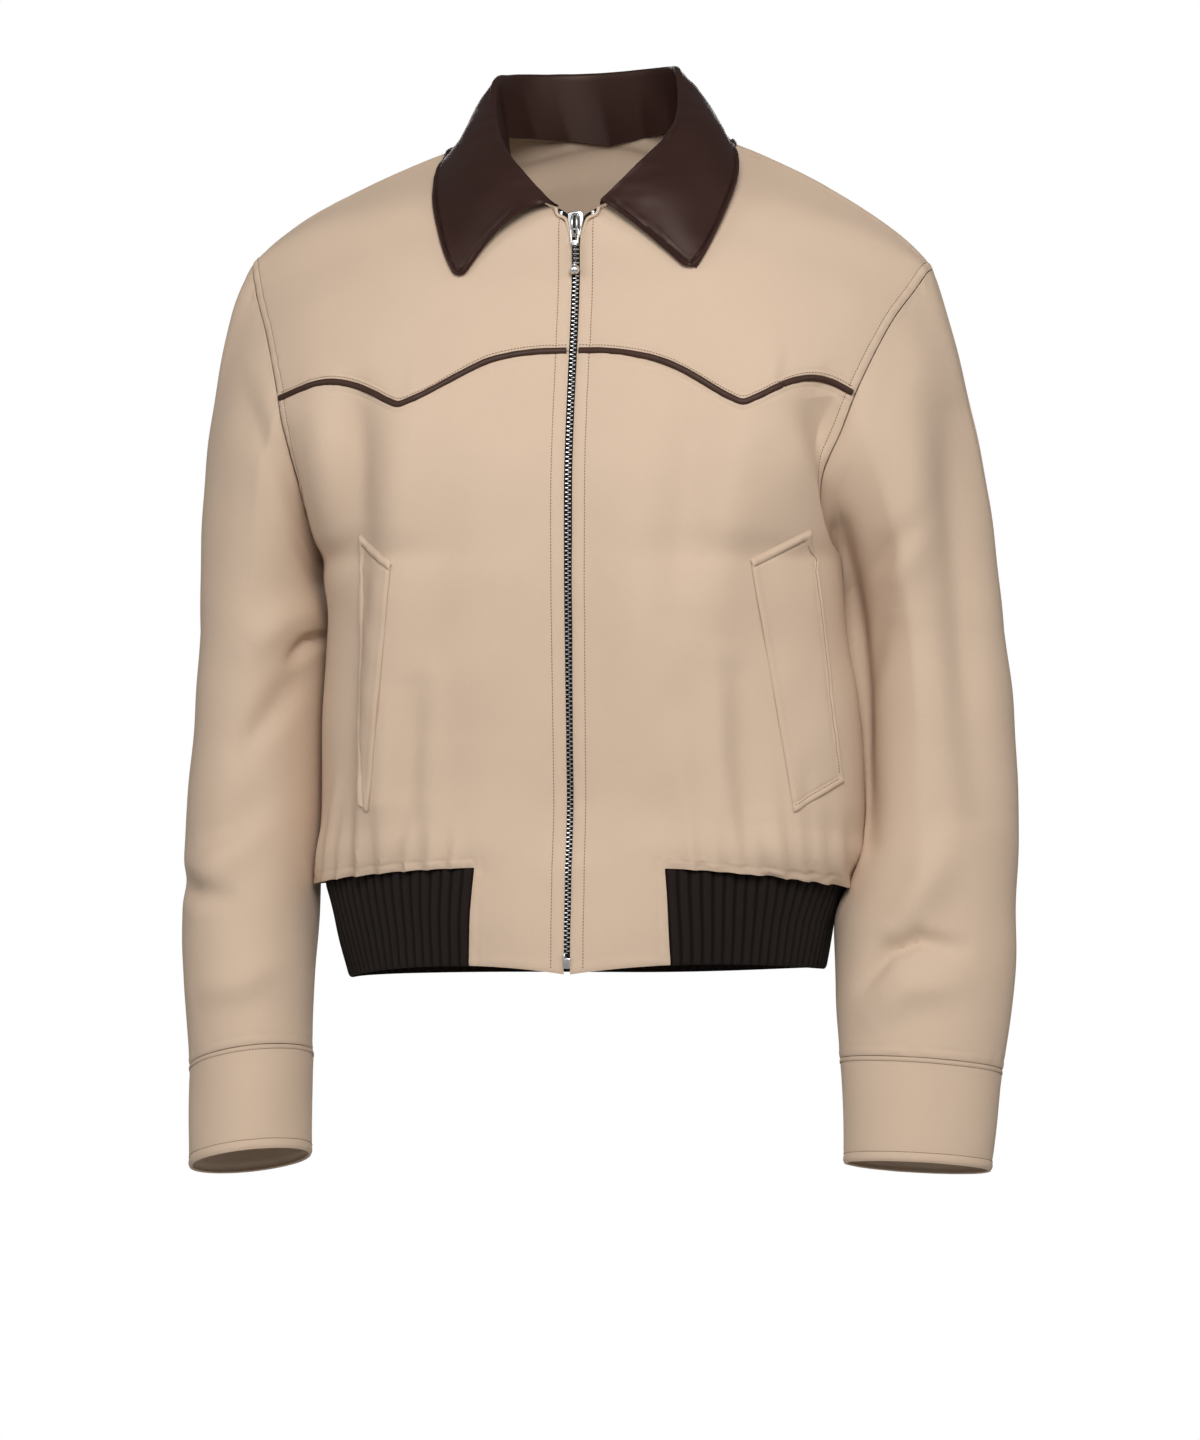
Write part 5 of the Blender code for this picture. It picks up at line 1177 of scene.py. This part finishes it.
def leather_grain():
    """Smooth leather: shallow pebbles a millimetre across, fine pores, and slow patches that are a little
    redder and more polished. Where its mask is 1, along the collar's edge bead, it is painted lighter as
    a painted highlight, and is more polished."""
    group, given = new_group("leather_grain", Seam=0.0, Polish=0.44)
    thread = given["Thread"]
    pebble = node(group, "TexVoronoi", {"Vector": thread, "Scale": 1100.0}, feature="DISTANCE_TO_EDGE")
    cell = maths(group, "MINIMUM", maths(group, "MULTIPLY", pebble.outputs["Distance"], 3.0), 1.0)
    pores, slow = noise(group, thread, 2600.0, 2.0), noise(group, thread, 28.0, 3.0)
    tone = scaled(group, cell, 0.10, scaled(group, slow, 0.35, 0.80))
    rough = scaled(group, maths(group, "SUBTRACT", slow, 0.5), 0.25, given["Polish"])
    rough = scaled(group, pores, 0.06, scaled(group, given["Seam"], -0.12, rough))
    # the mask lightens the tone along the edge bead: painted highlight
    return put_out(group, given, scaled(group, given["Seam"], 0.35, tone), scaled(group, pores, 0.35, cell), rough)


BROWN_LEATHER = (0.027, 0.0113, 0.0087)
grain = leather_grain()
leather = finish("brown_leather", BROWN_LEATHER, 0.4, grain, (0.08, 0.00008),
                 {"Specular IOR Level": 0.26, "Specular Tint": (1.0, 0.78, 0.70, 1)})


def neckline(side, s):
    """The neck edge of the body, s from 0 at the middle of the back to 1 at the collar's front end."""
    seam = yoke_level(side, 0.0)[0]
    rows = seam + (SHOULDER - seam) * YOKE_STEPS[:3:-1]
    at = np.concatenate([ARM_LEVELS[-4:] / SHOULDER * 0.42,
                         np.interp(-rows[1:], (-SHOULDER, 30), (0.42, 1))])
    points = np.concatenate([torso("back", side, np.zeros(4), ARM_LEVELS[-4:]),
                             torso("front", side, np.zeros(len(rows) - 1), rows[1:])])
    return points_at(s, at, points)


def collar_point(side, s, w):
    """A point of the collar's shown side: w from 0 at the stand's foot straight up to 0.85, half a turn
    round the roll line to 1.15, and down the fall to its edge at 2."""
    s, w = np.broadcast_arrays(np.asarray(s, float), np.asarray(w, float))
    mirrored = [value * sign for value, sign in zip(COLLAR[1], (-1, -1, 1, 1, -1, 1, 1))]
    row = smooth([mirrored] + COLLAR, s)
    mirror = np.array([side, 1, 1])
    roll, edge = row[..., 0:3] * mirror, row[..., 3:6] * mirror
    edge[..., 0] -= (side > 0) * 9 * hump(s, 0.47, 0.16)
    away = unit(roll * np.array([1, 1, 0]) - np.array([0, -14, 0]))
    spread = 2.6 * np.clip((1.02 - s) / 0.25, 0.25, 1)[..., None]
    inside, outside = roll - away * spread, roll + away * spread
    foot = neckline(side, s) - away * (LEATHER_WALL + 1.6) - np.array([0, 0, 1.5])
    stand = foot + (inside - foot) * ramp(w, 0.85)[..., None]
    turned = ramp(w - 0.85, 0.3)[..., None] * math.pi
    bend = roll - away * spread * np.cos(turned) + np.array([0, 0, 1]) * spread * np.sin(turned)
    t = ramp(w - 1.15, 0.85)[..., None]
    fall = outside + (edge - outside) * t + away * 7 * np.sin(math.pi * t) * (1 - t)
    bow = (13 if side < 0 else 2) * ramp(s - 0.8, 0.2) ** 1.5
    fall[..., 2] += bow * np.sin(math.pi * t[..., 0]) ** 0.8
    p = np.where((w < 0.85)[..., None], stand, np.where((w > 1.15)[..., None], fall, bend))
    p[..., 0] += np.maximum(p[..., 2] - 22, 0) * -0.17
    p[..., 2] += 0.03 * p[..., 0]
    return p


def make_collar():
    """The collar: columns from its right front end round the neck to its left, rows from the stand's
    foot over the roll to the edge of the fall."""
    t = np.linspace(0, 1, 100)
    s = 1 - (0.55 * t + 0.45 * (1 - np.cos(t * math.pi / 2)))
    w = np.concatenate([np.linspace(0, 0.85, 16), np.linspace(0.85, 1.15, 14)[1:],
                        1.15 + 0.85 * np.sin(np.linspace(0, math.pi / 2, 48))[1:]])
    p = np.concatenate([collar_point(-1, *np.meshgrid(s, w)), collar_point(1, *np.meshgrid(s[::-1][1:], w))], axis=1)
    reach, w_rows = np.concatenate([s, s[::-1][1:]]), w[:, None]
    gap = FALL_WALL + 0.8 + 0.5 * ramp(0.7 - reach, 0.15)
    high = body_points[:, 2] > -260
    p = pushed_clear(p, body_points[high], body_normals[high], np.where(w_rows > 1.1, gap, -1), passes=3)
    from_edge = lengths_from(p, "top")
    for end, half in (("left", slice(0, len(s) - 1)), ("right", slice(len(s), None))):
        part = p[:, half]
        near_end = (1 - ramp(lengths_from(part, end), TIP_ROUND))[..., None]
        near_foot = (1 - ramp(from_edge[:, half], TIP_ROUND))[..., None]
        forward = unit(np.gradient(part, axis=1)) * (-1 if end == "left" else 1)
        down = unit(np.gradient(part, axis=0))
        p[:, half] = part + TIP_ROUND * (forward * near_end * (np.sqrt(1 - near_foot ** 2 / 2) - 1)
                                         + down * near_foot * (np.sqrt(1 - near_end ** 2 / 2) - 1))
    out = grid_normals(p, np.where(w_rows[..., None] > 1.3, p - p[w > 1.1].mean(axis=(0, 1)), 0))
    out[-3:, :3], out[-3:, -3:] = out[-4, 3], out[-4, -4]
    shown = ramp(w_rows - 1.16, 0.12)
    distance = np.minimum.reduce([lengths_from(p, edge) for edge in ("top", "left", "right")])
    bead = 1.6 * np.clip((reach - 0.42) / 0.25, 0.2, 1)
    relief = shown * (bead * hump(distance, 1.9, 1.4) - 1.0 * hump(distance, 0, 0.7)
                      - 1.0 * hump(distance, COLLAR_STITCH, 0.9) + 0.25 * hump(distance, 6, 2))
    relief += shown * (0.35 * waves(p, 81, 30, 80) * ramp(distance, 8)
                       + 0.14 * waves(p, 82, 7, 16) * hump(distance, 5, 4))
    relief += 0.2 * waves(p * [1, 1, 2.5], 83, 18, 40) * hump(w_rows, 1.2, 0.25)
    p, n = raised(p, out, relief)
    n[-3:, :3], n[-3:, -3:] = n[-4, 3], n[-4, -4]
    thick = np.interp(w, (1.15, 1.5), (LEATHER_WALL, FALL_WALL))[:, None]
    # this mask marks the fall's edge bead, which the leather paints lighter as a painted highlight and polishes
    sheet_piece("collar", p, n, shown * hump(distance, 1.2, 1.0), thick, leather, "brown_leather", grow=0.25,
                flat=(0.50, 0.17), held="folded", area=0.060)
    p, n = p[w > 1.2], n[w > 1.2]
    stitched("collar_edge", p, n, "top", COLLAR_STITCH, span=(0.014, 0.986))
    stitched("collar_front_right", p, n, "left", COLLAR_STITCH, span=(0.02, 0.93))
    stitched("collar_front_left", p, n, "right", COLLAR_STITCH, span=(0.02, 0.93))


make_collar()

# ------------------------------------------------------------------ the piping
# A strip of the same leather folded over a cord and caught in each yoke seam, so that a dark bead
# 5 mm wide stands along the seam from the armhole to the zip.
# The piping is the collar's leather painted lighter: a painted highlight on the round bead.
piping_leather_painted_light = finish("piping_leather_painted_light", (0.050, 0.024, 0.0165), 0.4, grain, (0.22, 0.00012),
                        {"Specular IOR Level": 0.2})


def skin(name, points, quads, look, thread, caps=()):
    """A closed mesh from points and quads with flat caps, its faces turned to look out."""
    corner = points[quads] - points[np.unique(quads)].mean(axis=0)
    volume = sum((np.cross(corner[:, k], corner[:, k + 1]) * corner[:, 0]).sum() for k in (1, 2))
    faces = (quads if volume > 0 else quads[:, ::-1]).tolist()
    directed = {(face[k - 1], face[k]) for face in faces for k in range(4)} if caps else set()
    for cap in caps:
        faces.append(list(cap) if (cap[1], cap[0]) in directed else list(cap)[::-1])
    order = np.array([v for face in faces for v in face])
    return mesh_piece(name, points, faces, thread[order], np.zeros(len(points)), look, 40)


def end_caps(rings, points):
    """Corner numbers of the flat caps on the first and the last ring."""
    return [list(range(points)), list(range((rings - 1) * points, rings * points))]


def ringed(name, rings, look, thread=None, closed=False):
    """A closed mesh from rings of points, capped at both ends or closed on itself."""
    points = rings.reshape(-1, 3)
    size = rings.shape[:2]
    return skin(name, points, ring_quads(*size, closed), look, points[:, [0, 2]] if thread is None else thread,
                [] if closed else end_caps(*size))


def make_piping():
    """Each piping: a low half-round bead on the yoke seam's line; it creases a little on the curves."""
    turn = np.linspace(0, math.pi, 11)
    section = np.stack([-2.5 * np.cos(turn), -0.3 + 2.7 * np.sin(turn) ** 0.8], axis=1)
    for side, tag in SIDES:
        u = np.append(np.linspace(0.985, 0.06, 170), zip_u(np.array(-150.0)) + 0.006)
        level = yoke_level(side, u)
        path, n = torso("front", side, u, level), torso_normal("front", side, u, level)
        across = unit(np.cross(n, np.gradient(path, axis=0)))
        path = path + n * (0.10 * waves(path, 91, 5, 12) - 0.1)[:, None]
        rings = path[:, None] + across[:, None] * section[:, :1] + n[:, None] * section[:, 1:]
        thread = np.stack(np.broadcast_arrays(run_along(section), run_along(path)[:, None]), axis=-1)
        sewn_on(ringed("piping_" + tag, rings, piping_leather_painted_light, thread.reshape(-1, 2)), "brown_leather", "piping_" + tag)


make_piping()

# ------------------------------------------------------------------ the pocket welts
# Slanted welts of the twill, doubled, sewn down along their top, outer and lower edges and stitched
# 7 mm in; the long inner edge is a fold, and the hand goes in behind it.
WELT_WALL, WELT_RISE, WELT_STITCH = 1.5, 1.9, 7

# Corners as seen from the front, (x, z): upper inner, upper outer, lower outer, lower inner. The right
# one ends at the drape that covers its outer part and its foot. WELT_CUT is its flat size and area.
WELTS = {1: [(128, -296), (169, -274), (191, -456), (158, -478)],
         -1: [(-128, -298), (-158, -276), (-157, -470), (-148, -476)]}
WELT_CUT = {1: (0.058, 0.200, 0.0108), -1: (0.034, 0.205, 0.0046)}


def on_front(side, x, z):
    """u and level of the fronts' point seen at (x, z) from the front, by six corrections of the level."""
    us = np.linspace(0, 1, 161)
    level = z.copy()
    for _ in range(6):
        row = torso("front", side, us[None, :], level.reshape(-1)[:, None])
        u = np.array([np.interp(abs(t), np.maximum.accumulate(np.abs(r[:, 0]) + us * 1e-3), us)
                      for t, r in zip(x.reshape(-1), row)])
        found = np.array([np.interp(a, us, r[:, 2]) for a, r in zip(u, row)])
        level = level + (z - found.reshape(z.shape))
    return u.reshape(x.shape), level


def finer(grid, rows, columns):
    """A grid of numbers laid evenly on more rows and columns, straight between the old ones."""
    grid = np.array([np.interp(columns, np.linspace(0, 1, grid.shape[1]), row) for row in grid])
    return np.array([np.interp(rows, np.linspace(0, 1, grid.shape[0]), column) for column in grid.T]).T


def make_welts():
    """Each welt: a grid from the inner fold to the outer edge by top to bottom, laid on the front."""
    for side, tag in SIDES:
        a, b = (grid[..., None] for grid in np.meshgrid(np.linspace(0, 1, 6), np.linspace(0, 1, 14)))
        c = np.array(WELTS[side], float)
        flat = (1 - a) * (1 - b) * c[0] + a * (1 - b) * c[1] + a * b * c[2] + (1 - a) * b * c[3]
        u, level = (finer(grid, eased(0, 1, 90, 0.7), eased(0, 1, 34, 0.7))
                    for grid in on_front(side, flat[..., 0], flat[..., 1]))
        p, out = torso("front", side, u, level), torso_normal("front", side, u, level)
        to_inner, to_outer, to_top, to_foot = edge_lengths(p)
        sewn = np.minimum(to_top, to_outer)
        sewn = np.minimum(sewn, to_foot) if side > 0 else sewn
        relief = WELT_RISE * (1 - hump(sewn, 0, 1.3)) - 0.35 + 0.8 * hump(sewn, 3.4, 2.4) \
            - 0.7 * hump(sewn, WELT_STITCH, 0.9)
        relief += 0.35 * hump(to_inner, 3, 2) - 0.7 * hump(to_inner, 0, 1.0)
        relief += 0.25 * waves(p, 101 + side, 25, 60) + 0.14 * waves(p, 102, 8, 16) * hump(sewn, 6, 4)
        p, n = raised(p, out, relief)
        # the twill is painted darker near the welt's sewn edges and fold: painted shade
        sheet_piece("welt_" + tag, p, n, np.exp(-np.minimum(sewn, to_inner) / 1.5), WELT_WALL, grow=0.2,
                    flat=WELT_CUT[side][:2], held="laid", rests_on=["front_" + tag], area=WELT_CUT[side][2])
        stitched("welt_top_" + tag, p, n, "foot", WELT_STITCH, span=(0.08, 0.8))
        if side > 0:
            stitched("welt_foot_" + tag, p, n, "top", WELT_STITCH, span=(0.08, 0.8))
            stitched("welt_outer_" + tag, p, n, "right", WELT_STITCH, span=(0.12, 0.88))


make_welts()

# ------------------------------------------------------------------ the zip
# A full-length metal zip, closed: silver teeth clenched on the corded edges of two black herringbone
# tapes, a box at the hem and a small clamp on each tape at the neck. The tapes part above the slider.
TAPE_WALL, TAPE_COLUMNS = 0.8, 9
TOOTH_PITCH = 1.6            # from one tooth to the next, which is on the other tape

# The tapes' inner edge and the yokes' rolled edge: (z, distance from the zip's centre line). The teeth:
# (across, half height, half depth) from the clenched foot over the neck to the interlocking head.
TAPE_EDGE = [(-66, 0.3), (-58, 1.4), (-52, 3.2), (-48, 4.4), (-45, 6.2), (-42, 9.6), (-38.5, 14.0)]
EDGE_ROLL = [(-70, 3.0), (-62, 4.0), (-55, 5.8), (-50.5, 7.4), (-48.4, 10.2), (-47.4, 12.8), (-45.2, 14.6),
             (-42.4, 15.2), (-40.6, 17.2)]
TOOTH = np.array([(2.15, 0.36, 0.75), (2.0, 0.50, 0.95), (0.9, 0.44, 0.88), (0.2, 0.38, 0.76),
                  (-0.20, 0.34, 0.60), (-0.40, 0.22, 0.36)])


def herringbone():
    """Woven tape: slanting ribs 0.7 mm apart that turn back every 2 mm across its width."""
    group, given = new_group("herringbone", Seam=0.0)
    part = node(group, "SeparateXYZ", {0: given["Thread"]}).outputs
    zigzag = maths(group, "PINGPONG", part["X"], 0.002)
    ribs = ripple(group, maths(group, "ADD", part["Y"], zigzag), 0.0007)
    return put_out(group, given, scaled(group, ribs, 0.35, 1.0), ribs)


def worn_metal():
    """Plated metal: fine scratches as stretched noise, and slow patches that are a little duller."""
    group, given = new_group("worn_metal", Polish=0.22)
    slow = noise(group, given["Thread"], 260.0, 2.0)
    scratches = noise(group, stretched(group, given["Thread"], (4000, 4000, 350)), 1.0, 3.0)
    return put_out(group, given, scaled(group, slow, -0.25, 1.08), scratches,
                   scaled(group, slow, 0.2, given["Polish"]))


black_tape = finish("black_tape", (0.011, 0.011, 0.012), 0.85, herringbone(), (0.5, 0.0002),
                    {"Specular IOR Level": 0.2})
metal = worn_metal()
silver = finish("silver_metal", (0.80, 0.80, 0.81), 0.25, metal, (0.15, 0.00003), {"Metallic": 1.0}, on_threads=False)
black_bead = finish("black_bead", (0.012, 0.012, 0.013), 0.2, metal, (0.1, 0.00002),
                    {"Specular IOR Level": 0.6}, on_threads=False, Polish=0.12)
dull_metal = finish("tooth_metal", (0.66, 0.66, 0.67), 0.35, metal, (0.15, 0.00003),
                    {"Metallic": 1.0}, on_threads=False, Polish=0.34)


def zip_line(level, depth):
    """Points of the zip's centre line, this far behind the cloth."""
    row = smooth(FRONT, level)
    return np.stack([np.zeros(level.shape), row[..., 1] + depth, row[..., 2]], axis=-1)


def make_tapes():
    """Each tape: a flat strip behind the fronts' edges, from the hem to the neck."""
    level = np.concatenate([np.linspace(-597, -80, 150), np.linspace(-80, -38.5, 30)[1:]])
    first = np.interp(level, *np.array(TAPE_EDGE, float).T)
    width = np.interp(level, (-58, -43, -38.5), (12, 6, 3.5))
    path = zip_line(level, np.interp(level, (-80, -60), (1.75, 2.7)))
    for side, tag in SIDES:
        p = np.repeat(path[:, None], TAPE_COLUMNS, axis=1)
        p[..., 0] = side * (first[:, None] + width[:, None] * np.linspace(0, 1, TAPE_COLUMNS))
        out = np.zeros(p.shape) - [0, 1, 0]
        sheet_piece("zip_tape_" + tag, p, out, 0.0, TAPE_WALL, black_tape, "black_tape",
                    flat=(0.012, 0.57), held="stretched", rests_on=["front_" + tag])


make_tapes()


def make_teeth():
    """All teeth in one mesh: the tooth's cross-rings, from its foot on the tape to its head past the
    centre line, set down along the zip's line by turns from the left and the right."""
    path = zip_line(np.linspace(-592, -66, 800), 0.5)
    run = run_along(path)
    at = np.arange(7.5, run[-1] - 1, TOOTH_PITCH)
    place, along = points_at(at, run, path), unit(points_at(at, run, np.gradient(path, run, axis=0)))
    depth = unit(np.cross(along, (1.0, 0, 0)))
    hand = np.where(np.arange(len(at)) % 2, 1.0, -1.0)
    square = np.array([(-0.75, -1), (0.75, -1), (1, -0.6), (1, 0.6), (0.75, 1), (-0.75, 1), (-1, 0.6), (-1, -0.6)])
    rings = (place[:, None, None] + hand[:, None, None, None] * TOOTH[None, :, None, 0:1] * np.array([1.0, 0, 0])
             + along[:, None, None] * (TOOTH[:, None, 1] * square[None, :, 0])[None, ..., None]
             + depth[:, None, None] * (TOOTH[:, None, 2] * square[None, :, 1])[None, ..., None])
    k, m = len(TOOTH), len(square)
    ends = np.array([[0, 1, 2, 3], [0, 3, 4, 7], [4, 5, 6, 7]])[:, ::-1]
    one = np.concatenate([ring_quads(k, m), ends, ends[:, ::-1] + (k - 1) * m])
    quads = np.where((hand > 0)[:, None, None], one, one[:, ::-1]) + (np.arange(len(at)) * k * m)[:, None, None]
    points = rings.reshape(-1, 3)
    sewn_on(skin("zip_teeth", points, quads.reshape(-1, 4), dull_metal, points[:, [0, 2]]), "silver_metal", "zip_chain")


make_teeth()


def pillow(centre, size, square, rings=14, spokes=20):
    """A rounded block or ball: the superellipsoid whose cosines and sines are raised to the power
    square, 1 for a ball; its points, quads and pole caps."""
    def power(values):
        return np.sign(values) * np.abs(values) ** square

    tilt, angle = np.meshgrid(np.linspace(-math.pi / 2, math.pi / 2, rings + 1)[1:-1],
                              2 * math.pi * np.arange(spokes) / spokes, indexing="ij")
    p = np.stack([power(np.cos(tilt)) * power(np.cos(angle)), power(np.cos(tilt)) * power(np.sin(angle)),
                  power(np.sin(tilt))], axis=-1) * (np.array(size, float) / 2) + np.array(centre, float)
    return p.reshape(-1, 3), ring_quads(rings - 1, spokes), end_caps(rings - 1, spokes)


def block(name, look, *shapes):
    """One mesh of several pillows, each (centre, size, square)."""
    points, quads, caps, count = [], [], [], 0
    for shape in shapes:
        p, q, c = pillow(*shape)
        points.append(p)
        quads.append(q + count)
        caps += [[v + count for v in cap] for cap in c]
        count += len(p)
    points = np.concatenate(points)
    return skin(name, points, np.concatenate(quads), look, points[:, [0, 2]], caps)


def make_stops():
    """The bottom box, with its pin beside it, and a folded clamp on each tape at the neck."""
    hem, top = zip_line(np.array([-592.0, -44.0]), 0)[:, 1]
    box = block("zip_box", silver, ((0.6, hem - 1.2, -583.6), (3.9, 2.0, 7.4), 0.3),
                ((0.2, hem - 1.1, -580.6), (4.8, 1.8, 1.6), 0.3), ((-1.7, hem - 1.2, -582.0), (1.5, 1.8, 10.4), 0.4))
    sewn_on(box, "silver_metal", "zip_stop_bottom")
    for side, tag in SIDES:
        clamp = block("zip_clamp_" + tag, silver,
                      *(((side * 11.6, top + 1.3, z), (2.5, 2.2, 1.3), 0.35) for z in (-44.7, -46.1)))
        sewn_on(clamp, "silver_metal", "zip_stop_" + tag)


make_stops()

# ------------------------------------------------------------------ the slider
# A die-cast body like a narrow shield over the teeth, with a looped bridge on its face: a long ring
# bent outwards, whose slot the pull swings in. The slider stays at the top of the closed zip.
SLIDER_TOP, SLIDER_FOOT = -44.5, -64.0
PLATE_BACK, PLATE_FRONT = -94.9, -97.6
HINGE = (0, -102.1, -58.2)


def tube(name, path, radius, look, closed=False):
    """A round tube along a path: circles across it, on axes at right angles to the path."""
    along = unit(np.roll(path, -1, axis=0) - np.roll(path, 1, axis=0) if closed else np.gradient(path, axis=0))
    first = unit(np.cross(along, (0.31, 0.2, 0.93)))
    angle = (2 * math.pi * np.arange(12) / 12)[:, None]
    rings = first[:, None] * np.cos(angle) + np.cross(along, first)[:, None] * np.sin(angle)
    return ringed(name, path[:, None] + np.broadcast_to(radius, len(path))[:, None, None] * rings, look, closed=closed)


def make_slider():
    """The plate: a shield outline shrunk towards its middle over the rounding of both faces; and the
    bridge, a ring with straight sides that arches out from the plate."""
    z = np.concatenate([np.linspace(SLIDER_TOP, SLIDER_FOOT, 34), np.linspace(SLIDER_FOOT, SLIDER_TOP, 34)[1:-1]])
    half = np.interp(-z, (44.5, 45.2, 46.9, 51.5, 57.5, 62.4, 63.6, 64), (3.9, 5.0, 5.8, 5.6, 4.3, 3.7, 3.2, 2.7))
    x = np.where(np.arange(len(z)) < 34, half, -half)
    rings = [np.stack([x * shrink, np.full(z.shape, y), -54 + (z + 54) * (1 - (1 - shrink) * 0.55)], axis=1)
             for y, shrink in ((PLATE_BACK, 0.90), (PLATE_BACK - 0.25, 0.97), (PLATE_BACK - 0.6, 1),
                               (PLATE_FRONT + 0.9, 1), (PLATE_FRONT + 0.4, 0.96), (PLATE_FRONT + 0.1, 0.88),
                               (PLATE_FRONT, 0.78))]
    sewn_on(ringed("slider_plate", np.array(rings), silver), "silver_metal", "zip_slider")
    # A flat black block on the plate under the bridge: a painted shadow standing for the shade in the slot beneath the
    # bridge.
    painted_slot_shadow = block("slider_painted_shadow", black_bead, ((0, PLATE_FRONT + 0.05, -53.6), (7.4, 0.7, 15.4), 0.7))
    sewn_on(painted_slot_shadow, "silver_metal")
    turn = np.linspace(0, 2 * math.pi, 56, endpoint=False)
    ring_z = -54.5 + 7.2 * np.sign(np.sin(turn)) * np.abs(np.sin(turn)) ** 0.9
    ring_x = 1.75 * np.sign(np.cos(turn)) * np.abs(np.cos(turn)) ** 0.45
    arch = np.clip(1 - ((ring_z + 54.5) / 7.3) ** 2, 0, 1) ** 0.45
    path = np.stack([ring_x, PLATE_FRONT + 0.3 - 6.3 * arch, ring_z], axis=1)
    sewn_on(tube("slider_bridge", path, 0.74, silver, closed=True), "silver_metal")


def make_edge_rolls():
    """The turned edge of each yoke where it leaves the zip: it curls over outwards below the collar's
    end. A round tube along the rolled edge, thinner at both ends."""
    for side, tag in SIDES:
        z, x = smooth([(k, *line) for k, line in enumerate(EDGE_ROLL)], np.linspace(0, len(EDGE_ROLL) - 1, 60)).T
        path = np.stack([side * (x + 0.7 * (side > 0)), smooth(FRONT, z)[:, 1] - 0.2, z], axis=1)
        roll = 1.25 * np.clip(np.sin(np.linspace(0, math.pi, 60)) * 3, 0.25, 1)
        sewn_on(tube("edge_roll_" + tag, path, roll, twill), "tan_twill")


make_slider()
make_edge_rolls()

# ------------------------------------------------------------------ the pull
# A wire bail swings on a bar in the slider's bridge. From its flat tag hangs a short chain of black and
# silver beads that ends in a ball.
BALL_HEIGHT, BALL_RADIUS = -87.2, 3.6
BEAD_PITCH = 1.6
BAIL = [(-2.3, -8.6), (-2.6, -4.0), (-2.7, -1.2), (-2.4, -0.1), (-1.6, 0.0)]    # (x, z) from the hinge


def make_pull():
    """The bail as a bent wire, the tag as rounded blocks, the beads as balls threaded on a line, and
    the ball with a small neck ring."""
    x, y, z = HINGE
    bends = BAIL + [(-a, b) for a, b in BAIL[::-1]]
    t = np.linspace(0, len(bends) - 1, 64)
    wire = smooth([(i, a, b) for i, (a, b) in enumerate(bends)], t)
    bail = tube("pull_bail", np.stack([x + wire[:, 0], y + 0 * t, z + wire[:, 1]], axis=1), 0.62, silver)
    sewn_on(bail, "silver_metal", "zip_pull", body="zip_pull")
    heights = np.arange(z - 12.9, BALL_HEIGHT + BALL_RADIUS + 0.2, -BEAD_PITCH)
    parts = [("pull_tag", silver, [((x, y, z - 9.3), (5.8, 1.6, 2.6), 0.35), ((x, y, z - 10.9), (3.4, 1.7, 1.9), 0.5)]),
             ("pull_beads_black", black_bead, [((x, y, h), (3.8, 3.1, 2.3), 0.8) for h in heights[::2]]),
             ("pull_beads_silver", silver, [((x, y, h), (2.5, 2.5, 1.1), 0.9) for h in heights[1::2]]),
             ("pull_ball", silver, [((x, y, BALL_HEIGHT), (2 * BALL_RADIUS,) * 3, 1.0),
                                    ((x, y, BALL_HEIGHT + BALL_RADIUS), (3.0, 3.0, 1.0), 0.6)])]
    for name, look, shapes in parts:
        sewn_on(block(name, look, *shapes), "black_tape" if look is black_bead else "silver_metal", body="zip_pull")


make_pull()

# ------------------------------------------------------------------ the stitching
# Lockstitch in a matching tan thread on the twill, painted much darker than the cloth as painted shade of
# its stitch holes, and a thinner dark one on the leather: each stitch is a short length of thread that rises from one
# needle hole and goes down the next.


def thread_twist():
    """Twisted thread: slanting plies 0.35 mm apart."""
    group, given = new_group("thread_twist")
    part = node(group, "SeparateXYZ", {0: given["Thread"]}).outputs
    ply = ripple(group, maths(group, "ADD", part["X"], part["Y"]), 0.00035)
    return put_out(group, given, scaled(group, ply, 0.15, 0.95), ply)


twist = thread_twist()
tan_thread_painted_dark = finish("tan_thread_painted_dark", (0.20, 0.128, 0.082), 0.8, twist, (0.3, 0.0001))
brown_thread = finish("brown_thread", (0.022, 0.011, 0.009), 0.7, twist, (0.3, 0.0001))


def sew(name, lines, pitch, radius, look, slot):
    """All stitches of some lines in one mesh. Along each line, one stitch to a pitch takes up three
    quarters of it: five rings of five points, whose centres rise and fall by a sine over its length."""
    share, angle = np.linspace(0, 1, 5), (2 * math.pi * np.arange(5) / 5)[:, None]
    rings = []
    for path, normal in lines:
        run = run_along(path)
        at = np.arange(pitch * 0.3, run[-1] - pitch, pitch)[:, None] + share * pitch * 0.76
        centre, up = points_at(at, run, path), unit(points_at(at, run, normal))
        across = unit(np.cross(unit(centre[:, -1:] - centre[:, :1]), up))
        centre = centre + up * (np.sin(math.pi * share) * 0.42 - 0.22)[:, None]
        thin = (radius * (0.55 + 0.45 * np.sin(math.pi * share)))[:, None, None]
        rings.append(centre[:, :, None] + thin * (across[:, :, None] * np.cos(angle) + up[:, :, None] * np.sin(angle)))
    rings = np.concatenate(rings)
    count = len(rings)
    quads = (ring_quads(5, 5)[None] + (np.arange(count) * 25)[:, None, None]).reshape(-1, 4)
    caps = [list(range(s + end, s + end + 5)) for end in (0, 20) for s in range(0, count * 25, 25)]
    thread = np.stack(np.broadcast_arrays(np.arange(5) * 0.3, share[:, None] * pitch), axis=-1)
    sewn_on(skin(name, rings.reshape(-1, 3), quads, look, np.tile(thread.reshape(-1, 2), (count, 1)), caps), slot)


sew("stitching_tan", [line[1:] for line in stitch_lines if not line[0].startswith("collar")],
    2.3, 0.34, tan_thread_painted_dark, "tan_twill")
sew("stitching_brown", [line[1:] for line in stitch_lines if line[0].startswith("collar")],
    2.6, 0.24, brown_thread, "brown_leather")
